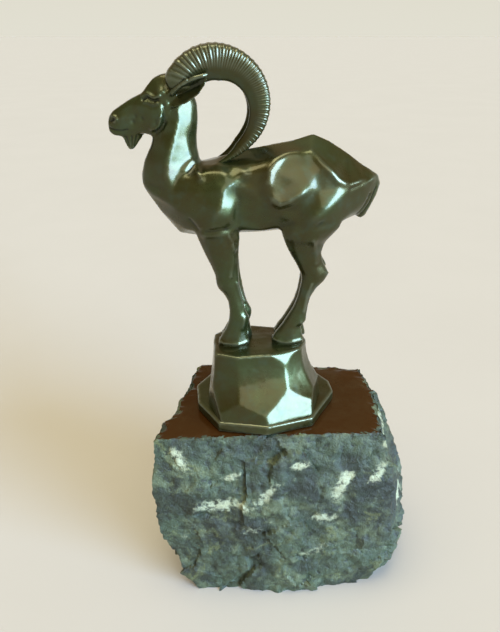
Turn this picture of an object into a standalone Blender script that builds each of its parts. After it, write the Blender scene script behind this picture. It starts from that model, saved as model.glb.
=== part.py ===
"""A bronze ibex standing on a faceted bronze rock, bolted to a rough block of green stone.

The ibex faces -X. Sizes are in millimetres and are turned into metres as each mesh is made.
"""

import math

import bmesh
import bpy
from mathutils import Matrix, Vector, noise
from mathutils.geometry import delaunay_2d_cdt

MM = 0.001

# Seating
SEAT_GAP = 0.3

# Stone block
STONE_HEIGHT = 70.0
STONE_GRID = 1.5
STONE_CHIP_SIZE = 13.0
STONE_CHIP_STEP = 1.1
STONE_CHIP_TILT = 2.2
STONE_GRAIN = 1.1
STONE_WIDEST = 0.42
STONE_SAW_ALLOWANCE = 1.5
STONE_TRIANGLE_SHARE = 0.095

# Rock plinth, cast in one with the ibex
PLINTH_X = -5.2
PLINTH_Y = -3.7
PLINTH_HEIGHT = 25.2
FOOT_THICKNESS = 3.7
FOOT_EDGE_BEVEL = 0.35
ROCK_EDGE_BEVEL = 0.3

# Ibex
FIGURE_OFFSET_X = -3.5
FIGURE_OFFSET_Y = 1.4
FIGURE_TURN = math.radians(4.0)
HOOF_SINK = 0.6
FAR_LEG_LAG = 1.5
EYE_PLACE = (-28.4, 4.5, 79.0)
EYE_RADIUS = 1.2
SKIN_VOXEL = 0.62
SKIN_SMOOTHING = 5
SKIN_TRIANGLE_SHARE = 0.056

# Horns
HORN_CENTRE_BACK = 12.55
HORN_CENTRE_DROP = 8.0
HORN_OUTER_RADIUS = 15.75
HORN_ROOT_ANGLE = 166.0
HORN_ROOT_BLUNTNESS = 0.25
HORN_ROOT_BLEND = 0.07
HORN_TIP_ANGLE = -94.0
HORN_TURN_PACE = 0.93
HORN_ROOT_DEPTH = 9.4
HORN_TIP_DEPTH = 1.3
HORN_TAPER_START = 0.31
HORN_DEPTH_TAPER = 0.85
HORN_WIDTH_TAPER = 0.7
HORN_ROOT_HALF_WIDTH = 3.2
HORN_TIP_HALF_WIDTH = 1.1
HORN_ROOT_Y = 3.5
HORN_MID_Y = 5.3
HORN_TIP_Y = 4.0
HORN_TIP_SINK = 2.2
HORN_SINK_START = 0.8
HORN_RIDGES = 38
HORN_RIDGE_HEIGHT = 0.3
HORN_VALLEY_DEPTH = 0.12

# Fixing stud, washer and nut
STUD_RADIUS = 2.0
STUD_GRIP = 0.44 * PLINTH_HEIGHT
STUD_END = 1.5
THREAD_CLEARANCE = 0.3
BORE_CLEARANCE = 0.7
WASHER_RADIUS = 3.0 * STUD_RADIUS
WASHER_THICKNESS = 1.0
NUT_RADIUS = 2.0 * STUD_RADIUS
NUT_THICKNESS = 3.2
RECESS_CLEARANCE = 2.0
RECESS_SHELTER = 2.7
RECESS_DEPTH = RECESS_SHELTER + STUD_END + NUT_THICKNESS + WASHER_THICKNESS + 2 * SEAT_GAP
FIXING_EDGE_BEVEL = 0.15
ROUND_SEGMENTS = 16
CUTTER_OVERRUN = 1.0

# A relief is an outline in profile, then the ridges of its two mirrored sides, as points of
# x, z and distance from the middle plane.
TRUNK_RELIEF = (
    ((-33.1, 57.6, 1.6), (-32.1, 60.4, 1.4), (-27.0, 62.0, 0.0), (-20.6, 61.6, 0.0),
        (-15.0, 60.9, 0.0), (-11.0, 61.7, 0.0), (-7.9, 62.9, 0.0), (-1.0, 64.8, 0.0),
        (5.6, 65.8, 0.0), (12.1, 66.9, 0.0), (19.5, 69.1, 0.0), (24.8, 66.8, 0.0), (30.2, 63.4, 0.0),
        (36.0, 59.2, 0.0), (40.4, 56.1, 1.2), (40.2, 51.8, 1.2), (39.5, 48.9, 1.2),
        (36.6, 44.9, 1.6), (32.6, 43.5, 2.4), (25.0, 41.2, 2.0), (19.0, 40.8, 2.0),
        (10.1, 39.6, 2.0), (4.4, 39.1, 2.0), (-3.3, 38.9, 2.0), (-10.9, 38.1, 2.0),
        (-16.0, 38.2, 2.0), (-22.2, 39.3, 2.0), (-28.0, 46.4, 2.0), (-30.7, 50.6, 1.8),
        (-32.6, 53.7, 1.6)),
    ((-15.8, 60.4, 4.6), (-11.0, 61.1, 5.6), (-4.3, 60.8, 7.6), (1.2, 61.8, 8.4), (6.4, 63.5, 9.0),
        (10.6, 64.8, 8.2), (17.5, 65.1, 7.4), (20.0, 63.0, 8.6), (23.6, 59.9, 9.6),
        (26.4, 57.0, 10.0), (28.9, 55.7, 9.7), (34.0, 55.7, 7.4), (37.7, 56.3, 4.6)),
    ((-20.0, 57.8, 7.6), (-15.5, 59.4, 8.4), (-11.1, 59.7, 9.0), (-6.5, 59.0, 9.8),
        (-1.0, 59.5, 10.2), (3.4, 61.0, 10.4)),
    ((10.6, 64.8, 8.2), (6.9, 62.9, 10.2), (4.9, 60.5, 11.2), (4.3, 56.9, 12.0), (5.7, 52.4, 13.0),
        (7.9, 50.7, 13.3), (10.3, 51.2, 13.2), (14.5, 53.7, 12.6), (17.2, 56.4, 11.6),
        (18.7, 60.1, 10.1), (17.5, 65.1, 7.4)),
    ((7.8, 59.8, 10.8), (9.5, 54.8, 11.9), (13.6, 57.0, 11.4), (13.1, 61.3, 9.8), (7.8, 59.8, 10.8)),
    ((-2.8, 54.3, 11.4), (1.9, 55.9, 11.2)),
    ((3.4, 50.6, 11.4), (7.6, 47.8, 11.4), (11.8, 48.9, 11.4), (15.2, 51.1, 12.0)),
    ((-3.6, 41.3, 7.6), (3.8, 41.1, 7.6), (9.9, 42.1, 8.2)),
    ((19.7, 54.5, 11.3), (16.8, 49.9, 12.0), (13.7, 45.2, 11.4)),
    ((28.9, 55.7, 9.7), (26.4, 54.8, 10.6), (24.0, 51.8, 11.6), (20.9, 49.1, 12.7),
        (18.2, 46.0, 13.3), (16.1, 42.6, 12.2)),
    ((30.4, 54.7, 9.0), (28.8, 53.4, 9.8), (26.3, 51.2, 10.7), (23.2, 48.8, 11.8),
        (20.5, 45.7, 12.4), (18.0, 42.4, 11.8)),
    ((30.4, 54.7, 9.0), (28.9, 55.7, 9.7)),
    ((35.8, 49.2, 4.8), (31.2, 46.0, 6.6), (26.9, 43.5, 8.6)),
    ((-24.9, 53.8, 8.0), (-18.9, 54.2, 10.0), (-13.6, 54.4, 11.0)),
    ((-30.5, 52.9, 4.8), (-22.7, 49.4, 9.8), (-14.7, 49.4, 12.4), (-14.5, 44.9, 12.5),
        (-13.7, 41.8, 11.6)),
    ((-3.6, 58.2, 10.7), (-6.9, 56.2, 11.8), (-9.0, 55.2, 12.4), (-9.2, 53.2, 12.8),
        (-9.4, 50.7, 13.3), (-10.9, 47.6, 13.7), (-11.6, 44.2, 12.6)),
    ((-3.3, 57.1, 10.3), (-4.8, 55.7, 10.9), (-6.3, 54.1, 11.5), (-6.0, 50.9, 11.8),
        (-5.7, 49.1, 11.9), (-6.8, 46.5, 12.2), (-9.2, 43.2, 11.4)),
    ((-4.2, 53.2, 10.5), (-4.3, 47.4, 10.2), (-4.3, 43.4, 9.4)),
    ((-24.9, 44.9, 5.4), (-20.1, 41.9, 7.4)),
)
NECK_RELIEF = (
    ((-27.2, 69.7, 2.2), (-28.9, 66.2, 2.2), (-30.6, 62.5, 2.4), (-32.3, 59.0, 2.6),
        (-32.9, 55.1, 2.6), (-30.7, 51.4, 2.6), (-23.3, 48.6, 3.0), (-13.9, 53.1, 3.0),
        (-15.2, 61.9, 1.8), (-15.9, 65.4, 1.4), (-15.6, 70.5, 1.2), (-15.1, 75.6, 1.2),
        (-15.1, 79.5, 1.2), (-18.4, 82.8, 2.0), (-23.6, 82.4, 2.4), (-26.1, 78.0, 2.4),
        (-26.9, 73.6, 2.4)),
    ((-24.3, 78.7, 3.4), (-25.4, 74.3, 3.5), (-26.6, 69.3, 3.4), (-28.0, 65.3, 3.6),
        (-29.3, 61.4, 4.4), (-30.4, 57.4, 5.0)),
    ((-21.1, 79.8, 4.3), (-21.2, 77.7, 4.5), (-22.2, 73.4, 5.0), (-23.9, 67.9, 6.0),
        (-25.3, 62.5, 7.2), (-26.1, 57.4, 8.2), (-23.7, 53.0, 8.4)),
    ((-17.1, 79.6, 2.4), (-17.2, 77.4, 2.4), (-17.4, 73.6, 2.5), (-18.7, 69.1, 3.2),
        (-18.0, 65.2, 3.6), (-19.0, 61.7, 5.0), (-17.7, 57.6, 6.6)),
)
HEAD_RELIEF = (
    ((-22.8, 86.3, 3.0), (-25.6, 86.0, 2.6), (-27.9, 84.9, 2.4), (-29.8, 82.8, 2.4),
        (-31.3, 80.9, 2.2), (-34.6, 79.4, 1.9), (-37.6, 77.6, 1.7), (-40.1, 76.0, 1.4),
        (-41.3, 74.6, 1.2), (-41.8, 72.5, 1.2), (-41.6, 70.2, 1.2), (-40.4, 69.1, 1.3),
        (-38.1, 68.8, 1.5), (-35.4, 69.5, 1.6), (-31.9, 69.8, 2.0), (-29.0, 69.1, 2.4),
        (-26.6, 70.0, 2.6), (-24.1, 72.5, 2.8), (-21.0, 76.4, 2.8), (-17.4, 79.6, 2.4),
        (-17.0, 83.4, 2.6), (-19.4, 85.6, 3.0)),
    ((-21.2, 83.8, 4.2), (-24.2, 84.1, 4.0), (-26.8, 83.0, 3.8), (-28.6, 81.4, 3.6),
        (-30.4, 80.1, 3.2), (-34.1, 78.1, 2.5), (-37.4, 76.5, 2.2)),
    ((-30.4, 80.1, 3.2), (-29.2, 80.0, 4.5), (-27.5, 79.4, 5.1), (-26.5, 78.3, 4.9)),
    ((-25.7, 81.8, 5.0), (-23.8, 80.2, 5.0), (-21.3, 80.4, 4.6)),
    ((-29.4, 78.7, 3.7), (-28.0, 78.0, 4.2)),
    ((-32.9, 77.5, 3.2), (-30.6, 77.2, 4.2), (-28.3, 76.4, 4.9)),
    ((-34.9, 74.6, 2.8), (-32.0, 74.3, 3.2), (-30.0, 73.8, 3.8)),
    ((-28.1, 75.6, 5.0), (-26.5, 77.0, 5.4), (-25.5, 75.4, 5.5), (-25.9, 73.2, 5.3),
        (-27.5, 71.7, 4.8), (-29.2, 72.2, 4.4), (-28.1, 75.6, 5.0)),
    ((-38.2, 70.3, 2.1), (-34.3, 70.8, 2.5), (-31.4, 71.0, 3.1), (-28.8, 70.4, 3.5),
        (-26.4, 71.6, 3.9), (-24.5, 74.4, 4.1)),
    ((-38.1, 73.8, 2.9), (-39.5, 73.9, 2.5)),
    ((-40.4, 71.5, 2.0), (-38.0, 71.5, 2.6)),
)

# Each section of a limb runs from a front point to a back point of its outline in profile:
# front x, front z, back x, back z, distance from the middle plane, half thickness.
BEARD_SECTIONS = (
    (-38.3, 70.3, -31.0, 70.6, 0.0, 1.9),
    (-37.8, 68.1, -31.8, 68.8, 0.0, 1.7),
    (-37.1, 66.2, -33.3, 66.8, 0.0, 1.4),
    (-36.3, 64.7, -34.8, 64.8, 0.0, 0.9),
)
TAIL_SECTIONS = (
    (35.6, 57.0, 40.2, 56.6, 0.0, 2.2),
    (37.4, 53.2, 41.3, 53.6, 0.0, 2.4),
    (36.6, 48.6, 40.3, 49.8, 0.0, 2.4),
    (35.0, 45.8, 38.7, 46.2, 0.0, 2.1),
    (33.7, 43.7, 37.3, 43.2, 0.0, 1.6),
    (34.3, 42.6, 36.3, 42.4, 0.0, 1.0),
)
FORE_LEG_SECTIONS = (
    (-17.0, 50.0, -7.4, 51.0, 8.0, 3.6),
    (-17.8, 43.0, -5.6, 45.2, 8.2, 4.6),
    (-16.4, 38.6, -3.6, 39.4, 7.0, 4.0),
    (-14.5, 33.4, -3.9, 33.6, 5.9, 3.4),
    (-12.7, 29.2, -4.0, 29.0, 5.1, 3.0),
    (-11.4, 25.6, -3.9, 25.6, 4.6, 2.8),
    (-11.2, 22.6, -3.7, 22.6, 4.3, 2.7),
    (-10.5, 20.8, -3.4, 20.8, 4.1, 2.4),
    (-8.8, 18.8, -3.1, 18.8, 3.9, 2.1),
    (-7.4, 16.0, -2.6, 16.0, 3.7, 2.0),
    (-7.0, 12.6, -1.7, 12.6, 3.5, 2.1),
    (-7.1, 10.2, -0.3, 9.9, 3.4, 2.4),
    (-7.4, 8.2, -0.4, 7.9, 3.3, 2.4),
    (-8.3, 5.8, -1.2, 5.8, 3.3, 2.4),
    (-9.7, 3.4, -0.9, 3.4, 3.3, 2.6),
    (-10.9, 1.2, -0.4, 1.2, 3.3, 2.8),
    (-11.0, -HOOF_SINK, -0.3, -HOOF_SINK, 3.3, 2.8),
)
HIND_LEG_SECTIONS = (
    (12.5, 47.0, 30.0, 46.0, 6.4, 3.6),
    (9.4, 41.4, 27.6, 41.8, 7.5, 5.3),
    (9.8, 39.2, 24.9, 38.8, 7.0, 4.7),
    (10.9, 36.2, 23.3, 36.6, 6.2, 3.9),
    (12.7, 32.4, 22.5, 32.8, 5.3, 3.2),
    (14.7, 29.0, 23.4, 29.4, 4.7, 2.9),
    (16.3, 25.6, 25.6, 25.4, 4.3, 2.9),
    (16.7, 23.2, 24.3, 22.8, 4.1, 2.6),
    (16.3, 20.4, 21.9, 20.2, 3.9, 2.3),
    (15.6, 16.8, 20.1, 17.0, 3.6, 2.1),
    (14.3, 13.0, 19.3, 13.4, 3.4, 2.2),
    (12.6, 10.0, 19.0, 10.1, 3.3, 2.4),
    (11.4, 8.0, 18.8, 7.9, 3.3, 2.5),
    (10.3, 6.2, 16.9, 6.3, 3.3, 2.4),
    (8.5, 4.0, 17.5, 4.2, 3.3, 2.6),
    (7.2, 1.6, 18.1, 1.6, 3.3, 2.8),
    (7.3, -HOOF_SINK, 18.4, -HOOF_SINK, 3.3, 2.8),
)
EAR_SECTIONS = (
    (-24.4, 80.4, -23.6, 77.0, 4.4, 1.2),
    (-22.4, 82.6, -21.6, 77.4, 5.4, 1.9),
    (-19.0, 84.6, -18.2, 78.6, 6.6, 2.1),
    (-15.8, 85.9, -15.0, 80.8, 7.5, 1.7),
    (-13.2, 86.6, -12.8, 83.6, 8.0, 1.0),
    (-12.0, 87.0, -11.9, 86.2, 8.3, 0.4),
)

# Section shapes: share of the way from front to back, share of the half thickness.
LIMB_SHAPE = ((0.0, 0.34), (0.18, 0.84), (0.5, 1.0), (0.82, 0.74), (1.0, 0.3))
TUFT_SHAPE = ((0.0, 0.2), (0.3, 0.9), (0.7, 0.9), (1.0, 0.2))
EAR_OUTER_SHAPE = ((0.0, 0.7), (0.16, 0.5), (0.45, -0.6), (0.8, -0.1), (1.0, 0.6))
EAR_INNER_SHAPE = ((0.0, 0.0), (0.16, 0.5), (0.45, 1.2), (0.8, 0.8), (1.0, 0.0))
HORN_SHAPE = ((1.0, 0.5), (0.86, 0.94), (0.48, 1.0), (0.16, 0.6), (0.0, 0.2))
HORN_RIDGE_SHARE = (1.0, 0.9, 0.45, 0.0, 0.0)

# Rock plinth: plan corners round its middle.
ROCK_TOP = (
    (-15.4, -9.8), (-7.8, -12.6), (8.1, -9.8), (14.4, -6.2), (16.0, 1.0),
    (14.0, 9.0), (4.0, 12.6), (-9.0, 12.4), (-16.4, 5.0),
)
ROCK_SPREAD = (
    (-19.1, -17.5), (-7.0, -23.4), (11.8, -23.6), (26.0, -13.5), (28.0, 2.0),
    (24.0, 16.0), (6.0, 25.0), (-13.0, 24.0), (-22.0, 8.0),
)
ROCK_LEVELS = (1.0, 0.7, 0.5, 0.36, 0.24, 0.12, 0.0)
ROCK_FLARE_POWER = 2.2
ROCK_CUTS = (
    (-18.2, -6.0, 0.0), (-13.5, -18.1, 14.5), (2.4, -19.9, 15.0), (17.8, -13.3, 6.0),
    (21.8, 1.7, 9.0), (17.0, 14.0, 15.0), (-4.0, 18.4, 14.0), (-17.6, 12.0, 5.0),
)
FOOT_CORNERS = (
    (-23.1, 6.1), (-21.8, -5.5), (-14.0, -18.4), (2.4, -21.0), (17.8, -15.4),
    (26.7, 1.9), (26.0, 8.9), (19.0, 20.0), (-15.5, 20.0),
)

# Stone outlines, as plan corners at shares of the height.
STONE_OUTLINES = (
    (0.0, (
        (-28.0, -24.5), (10.0, -25.5), (38.0, -20.5), (47.5, -8.0),
        (44.0, 14.0), (20.0, 24.0), (-12.0, 23.0), (-27.0, 8.0),
    )),
    (0.16, (
        (-35.0, -26.0), (8.0, -27.5), (41.5, -23.5), (51.6, -8.0),
        (47.0, 18.0), (20.0, 27.5), (-18.0, 26.0), (-34.0, 8.0),
    )),
    (0.42, (
        (-41.0, -26.5), (4.0, -28.2), (42.0, -25.0), (51.0, -6.0),
        (45.0, 22.0), (16.0, 28.6), (-24.0, 27.0), (-39.5, 6.0),
    )),
    (0.74, (
        (-42.4, -27.4), (0.0, -27.6), (40.5, -25.0), (46.5, -4.0),
        (42.0, 24.0), (8.0, 28.4), (-30.0, 27.0), (-38.0, 4.0),
    )),
    (1.0, (
        (-40.6, -26.4), (-2.0, -25.6), (36.4, -22.8), (38.0, -2.0),
        (35.6, 22.0), (4.0, 26.0), (-29.0, 25.6), (-35.2, 0.0),
    )),
)
STONE_SEED = Vector((3.7, 1.9, 8.3))


def material(name, colour, roughness, metallic):
    """A plain surface finish."""
    made = bpy.data.materials.new(name)
    made.use_nodes = True
    shader = made.node_tree.nodes["Principled BSDF"]
    shader.inputs["Base Color"].default_value = (*colour, 1.0)
    shader.inputs["Roughness"].default_value = roughness
    shader.inputs["Metallic"].default_value = metallic
    return made


def new_object(name, mesh_data, finish=None, place=(0.0, 0.0, 0.0)):
    """An object from a bmesh drawn in millimetres, placed in millimetres."""
    bmesh.ops.recalc_face_normals(mesh_data, faces=mesh_data.faces)
    bmesh.ops.scale(mesh_data, vec=(MM, MM, MM), verts=mesh_data.verts)
    mesh = bpy.data.meshes.new(name)
    mesh_data.to_mesh(mesh)
    mesh_data.free()
    made = bpy.data.objects.new(name, mesh)
    made.location = Vector(place) * MM
    bpy.context.scene.collection.objects.link(made)
    if finish:
        mesh.materials.append(finish)
    return made


def helper(obj):
    """Marks an object as a cutter or an ingredient, which isn't a piece by itself."""
    obj.hide_render = True
    obj.display_type = "WIRE"
    return obj


def boolean(target, other, operation):
    step = target.modifiers.new(f"{operation.lower()} {other.name}", "BOOLEAN")
    step.operation = operation
    step.object = other
    step.solver = "EXACT"


def soften_edges(target, width, segments=2):
    """Rounds the sharp edges of a solid by a width in millimetres."""
    step = target.modifiers.new("soft edges", "BEVEL")
    step.width = width * MM
    step.segments = segments
    step.limit_method = "ANGLE"
    step.angle_limit = math.radians(12.0)


def loft(mesh_data, rings):
    """A closed skin through rings of equally many points, capped at both ends."""
    loops = [[mesh_data.verts.new(point) for point in ring] for ring in rings]
    count = len(loops[0])
    for lower, upper in zip(loops, loops[1:]):
        for i in range(count):
            j = (i + 1) % count
            mesh_data.faces.new((lower[i], lower[j], upper[j], upper[i]))
    mesh_data.faces.new(loops[0][::-1])
    mesh_data.faces.new(loops[-1])


def prism(corners, low, high):
    """A straight-sided solid over plan corners."""
    mesh_data = bmesh.new()
    loft(mesh_data, [[(x, y, z) for x, y in corners] for z in (low, high)])
    return mesh_data


def bar(name, radius, low, high, finish=None, segments=ROUND_SEGMENTS):
    """A round or hexagonal bar, upright under the middle of the plinth."""
    angles = [2 * math.pi * i / segments for i in range(segments)]
    corners = [(radius * math.cos(a), radius * math.sin(a)) for a in angles]
    return new_object(name, prism(corners, low, high), finish, (PLINTH_X, PLINTH_Y, 0.0))


def section(row, shape, side, inner_shape=None):
    """One ring of the figure: shape is used outwards and inner_shape towards the middle plane."""
    front_x, front_z, back_x, back_z, offset, half = row
    front = Vector((front_x, 0.0, front_z))
    back = Vector((back_x, 0.0, back_z))
    ring = []
    for share, reach in shape:
        point = front.lerp(back, share)
        point.y = side * (offset + reach * half)
        ring.append(point)
    for share, reach in reversed(inner_shape or shape):
        point = front.lerp(back, share)
        point.y = side * (offset - reach * half)
        ring.append(point)
    return ring


def lagging(row):
    """A leg section of the far side, which is set back more the nearer it is to the hoof."""
    front_x, front_z, back_x, back_z, offset, half = row
    lag = FAR_LEG_LAG * max(0.0, 1.0 - front_z / FORE_LEG_SECTIONS[0][1])
    return (front_x + lag, front_z, back_x + lag, back_z, offset, half)


def relief(mesh_data, rows):
    """A closed form from an outline in profile and the ridges of its two mirrored sides."""
    points, depths, number, ridges = [], [], {}, []
    for row in rows:
        for x, z, depth in row:
            if (x, z) not in number:
                number[x, z] = len(points)
                points.append(Vector((x, z)))
                depths.append(depth)
        line = [number[x, z] for x, z, depth in row]
        ridges += zip(line, line[1:])
    outline = [number[x, z] for x, z, depth in rows[0]]
    flat, _, faces, sources, _, _ = delaunay_2d_cdt(points, ridges, [outline], 1, 1e-4)
    sides = []
    for side in (-1, 1):
        verts = {}
        for i, spot in enumerate(flat):
            depth = depths[sources[i][0]]
            if not depth and side > 0:
                verts[i] = sides[0][i]
            else:
                verts[i] = mesh_data.verts.new((spot.x, side * depth, spot.y))
        sides.append(verts)
        for face in faces:
            corners = [verts[i] for i in face[::side]]
            if any(depths[sources[i][0]] for i in face):
                mesh_data.faces.new(corners)
    place = {sources[i][0]: i for i in range(len(flat))}
    for a, b in zip(outline, outline[1:] + outline[:1]):
        near, far = sides
        wall = dict.fromkeys((near[place[a]], near[place[b]], far[place[b]], far[place[a]]))
        if len(wall) > 2:
            mesh_data.faces.new(wall)


def horn_rings(side, rings_per_ridge=2):
    """Rings along one horn, curling round a centre set off from the highest point of the head."""
    crown_x, crown_z, _ = max(HEAD_RELIEF[0], key=lambda corner: corner[1])
    centre_x = crown_x + HORN_CENTRE_BACK
    centre_z = crown_z - HORN_CENTRE_DROP
    count = HORN_RIDGES * rings_per_ridge
    rings = []
    for i in range(count + 1):
        way = i / count
        left = 1.0 - way
        turn = HORN_ROOT_ANGLE + (HORN_TIP_ANGLE - HORN_ROOT_ANGLE) * way**HORN_TURN_PACE
        taper = min(1.0, left / (1.0 - HORN_TAPER_START)) ** HORN_DEPTH_TAPER
        depth = HORN_TIP_DEPTH + (HORN_ROOT_DEPTH - HORN_TIP_DEPTH) * taper
        half = HORN_TIP_HALF_WIDTH + (HORN_ROOT_HALF_WIDTH - HORN_TIP_HALF_WIDTH) * left**HORN_WIDTH_TAPER
        offset = HORN_ROOT_Y + (HORN_TIP_Y - HORN_ROOT_Y) * way
        offset += math.sin(math.pi * way) * (HORN_MID_Y - (HORN_ROOT_Y + HORN_TIP_Y) / 2)
        sink = HORN_TIP_SINK * max(0.0, (way - HORN_SINK_START) / (1.0 - HORN_SINK_START)) ** 2
        root = math.sin(math.pi / 2 * min(1.0, HORN_ROOT_BLUNTNESS + way / HORN_ROOT_BLEND))
        swell = HORN_RIDGE_HEIGHT if i % rings_per_ridge else -HORN_VALLEY_DEPTH
        swell *= (0.5 + 0.5 * left) * min(1.0, 12 * left, 8 * way)
        near = []
        for (share, reach), ridge in zip(HORN_SHAPE, HORN_RIDGE_SHARE):
            radius = HORN_OUTER_RADIUS + sink - depth * (0.5 + (0.5 - share) * root) + swell * ridge * share
            spoke = Matrix.Rotation(math.radians(-turn), 3, "Y") @ Vector((radius, 0.0, 0.0))
            near.append((spoke, reach * half * root + swell * ridge))
        centre = Vector((centre_x, side * offset, centre_z))
        outer = [centre + spoke + Vector((0.0, side * width, 0.0)) for spoke, width in near]
        inner = [centre + spoke - Vector((0.0, side * width, 0.0)) for spoke, width in reversed(near)]
        rings.append(outer + inner)
    return rings


def place_on_plinth(mesh_data):
    """Moves figure coordinates to the casting's own frame, whose origin is under the plinth."""
    turn = Matrix.Rotation(FIGURE_TURN, 4, "Z")
    shift = Matrix.Translation((FIGURE_OFFSET_X, FIGURE_OFFSET_Y, PLINTH_HEIGHT))
    bmesh.ops.transform(mesh_data, matrix=turn @ shift, verts=mesh_data.verts)


def figure_skin():
    """All the masses of the animal, overlapping, before they are fused into one skin."""
    mesh_data = bmesh.new()
    for rows in (TRUNK_RELIEF, NECK_RELIEF, HEAD_RELIEF):
        relief(mesh_data, rows)
    for sections in (BEARD_SECTIONS, TAIL_SECTIONS):
        loft(mesh_data, [section(row, TUFT_SHAPE, 1) for row in sections])
    for leg in (FORE_LEG_SECTIONS, HIND_LEG_SECTIONS):
        loft(mesh_data, [section(row, LIMB_SHAPE, -1) for row in leg])
        loft(mesh_data, [section(lagging(row), LIMB_SHAPE, 1) for row in leg])
    for side in (-1, 1):
        x, y, z = EYE_PLACE
        eye = Matrix.Translation((x, side * y, z))
        bmesh.ops.create_icosphere(mesh_data, subdivisions=2, radius=EYE_RADIUS, matrix=eye)
        loft(mesh_data, [section(row, EAR_OUTER_SHAPE, side, EAR_INNER_SHAPE) for row in EAR_SECTIONS])
    place_on_plinth(mesh_data)
    return mesh_data


def horn(side):
    mesh_data = bmesh.new()
    loft(mesh_data, horn_rings(side))
    place_on_plinth(mesh_data)
    return mesh_data


def cut_flat(mesh_data, point, normal):
    """Saws a solid off at a plane and closes the face."""
    everything = mesh_data.verts[:] + mesh_data.edges[:] + mesh_data.faces[:]
    cut = bmesh.ops.bisect_plane(
        mesh_data, geom=everything, plane_co=point, plane_no=normal, clear_outer=True
    )
    edges = [part for part in cut["geom_cut"] if isinstance(part, bmesh.types.BMEdge)]
    bmesh.ops.contextual_create(mesh_data, geom=edges)


def rock_block():
    """The upper plinth: a flared prism whose foot is cut back by large facets."""
    mesh_data = bmesh.new()
    rise = PLINTH_HEIGHT - FOOT_THICKNESS
    rings = []
    for share in ROCK_LEVELS:
        level = FOOT_THICKNESS - ROCK_EDGE_BEVEL + (rise + ROCK_EDGE_BEVEL) * share
        flare = (1.0 - share) ** ROCK_FLARE_POWER
        plan = [Vector(top).lerp(Vector(low), flare) for top, low in zip(ROCK_TOP, ROCK_SPREAD)]
        rings.append([(corner.x, corner.y, level) for corner in plan])
    loft(mesh_data, rings)
    for i, (x, y, lean) in enumerate(ROCK_CUTS):
        next_x, next_y, _ = ROCK_CUTS[(i + 1) % len(ROCK_CUTS)]
        along = Vector((next_x - x, next_y - y, 0.0)).normalized()
        outwards = Vector((along.y, -along.x, 0.0))
        lean = math.radians(lean)
        normal = outwards * math.cos(lean) + Vector((0.0, 0.0, math.sin(lean)))
        cut_flat(mesh_data, (x, y, FOOT_THICKNESS), normal)
    return mesh_data


def stone_outline(share):
    """Plan corners of the stone at a share of its height."""
    for (low, low_corners), (high, high_corners) in zip(STONE_OUTLINES, STONE_OUTLINES[1:]):
        if share <= high:
            break
    blend = (share - low) / (high - low)
    return [Vector(a).lerp(Vector(b), blend) for a, b in zip(low_corners, high_corners)]


def chipped(spot):
    """How far the broken face stands out at a spot: flat tilted chips, with grain on top."""
    place = spot / STONE_CHIP_SIZE + STONE_SEED
    seed = noise.voronoi(place)[1][0]
    turn = noise.cell_vector(seed * 9.7) - Vector((0.5, 0.5, 0.5))
    chip = STONE_CHIP_STEP * (noise.cell(seed * 5.3) - 0.5) + STONE_CHIP_TILT * turn.dot(place - seed)
    return chip + STONE_GRAIN * noise.noise(place * 2.6)


def stone_rings():
    """Rings up the broken block, a little past both ends, which are sawn flat later."""
    widest = stone_outline(STONE_WIDEST)
    counts = [max(2, round((b - a).length / STONE_GRID)) for a, b in zip(widest, widest[1:] + widest[:1])]
    margin = round(STONE_SAW_ALLOWANCE / STONE_GRID)
    levels = round(STONE_HEIGHT / STONE_GRID)
    rings = []
    for level in range(-margin, levels + margin + 1):
        corners = stone_outline(min(1.0, max(0.0, level / levels)))
        ring = []
        for start, end, count in zip(corners, corners[1:] + corners[:1], counts):
            for i in range(count):
                plan = start.lerp(end, i / count)
                spot = Vector((plan.x, plan.y, STONE_HEIGHT * level / levels))
                plan += plan.normalized() * chipped(spot)
                ring.append((plan.x, plan.y, spot.z))
        rings.append(ring)
    return rings


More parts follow.
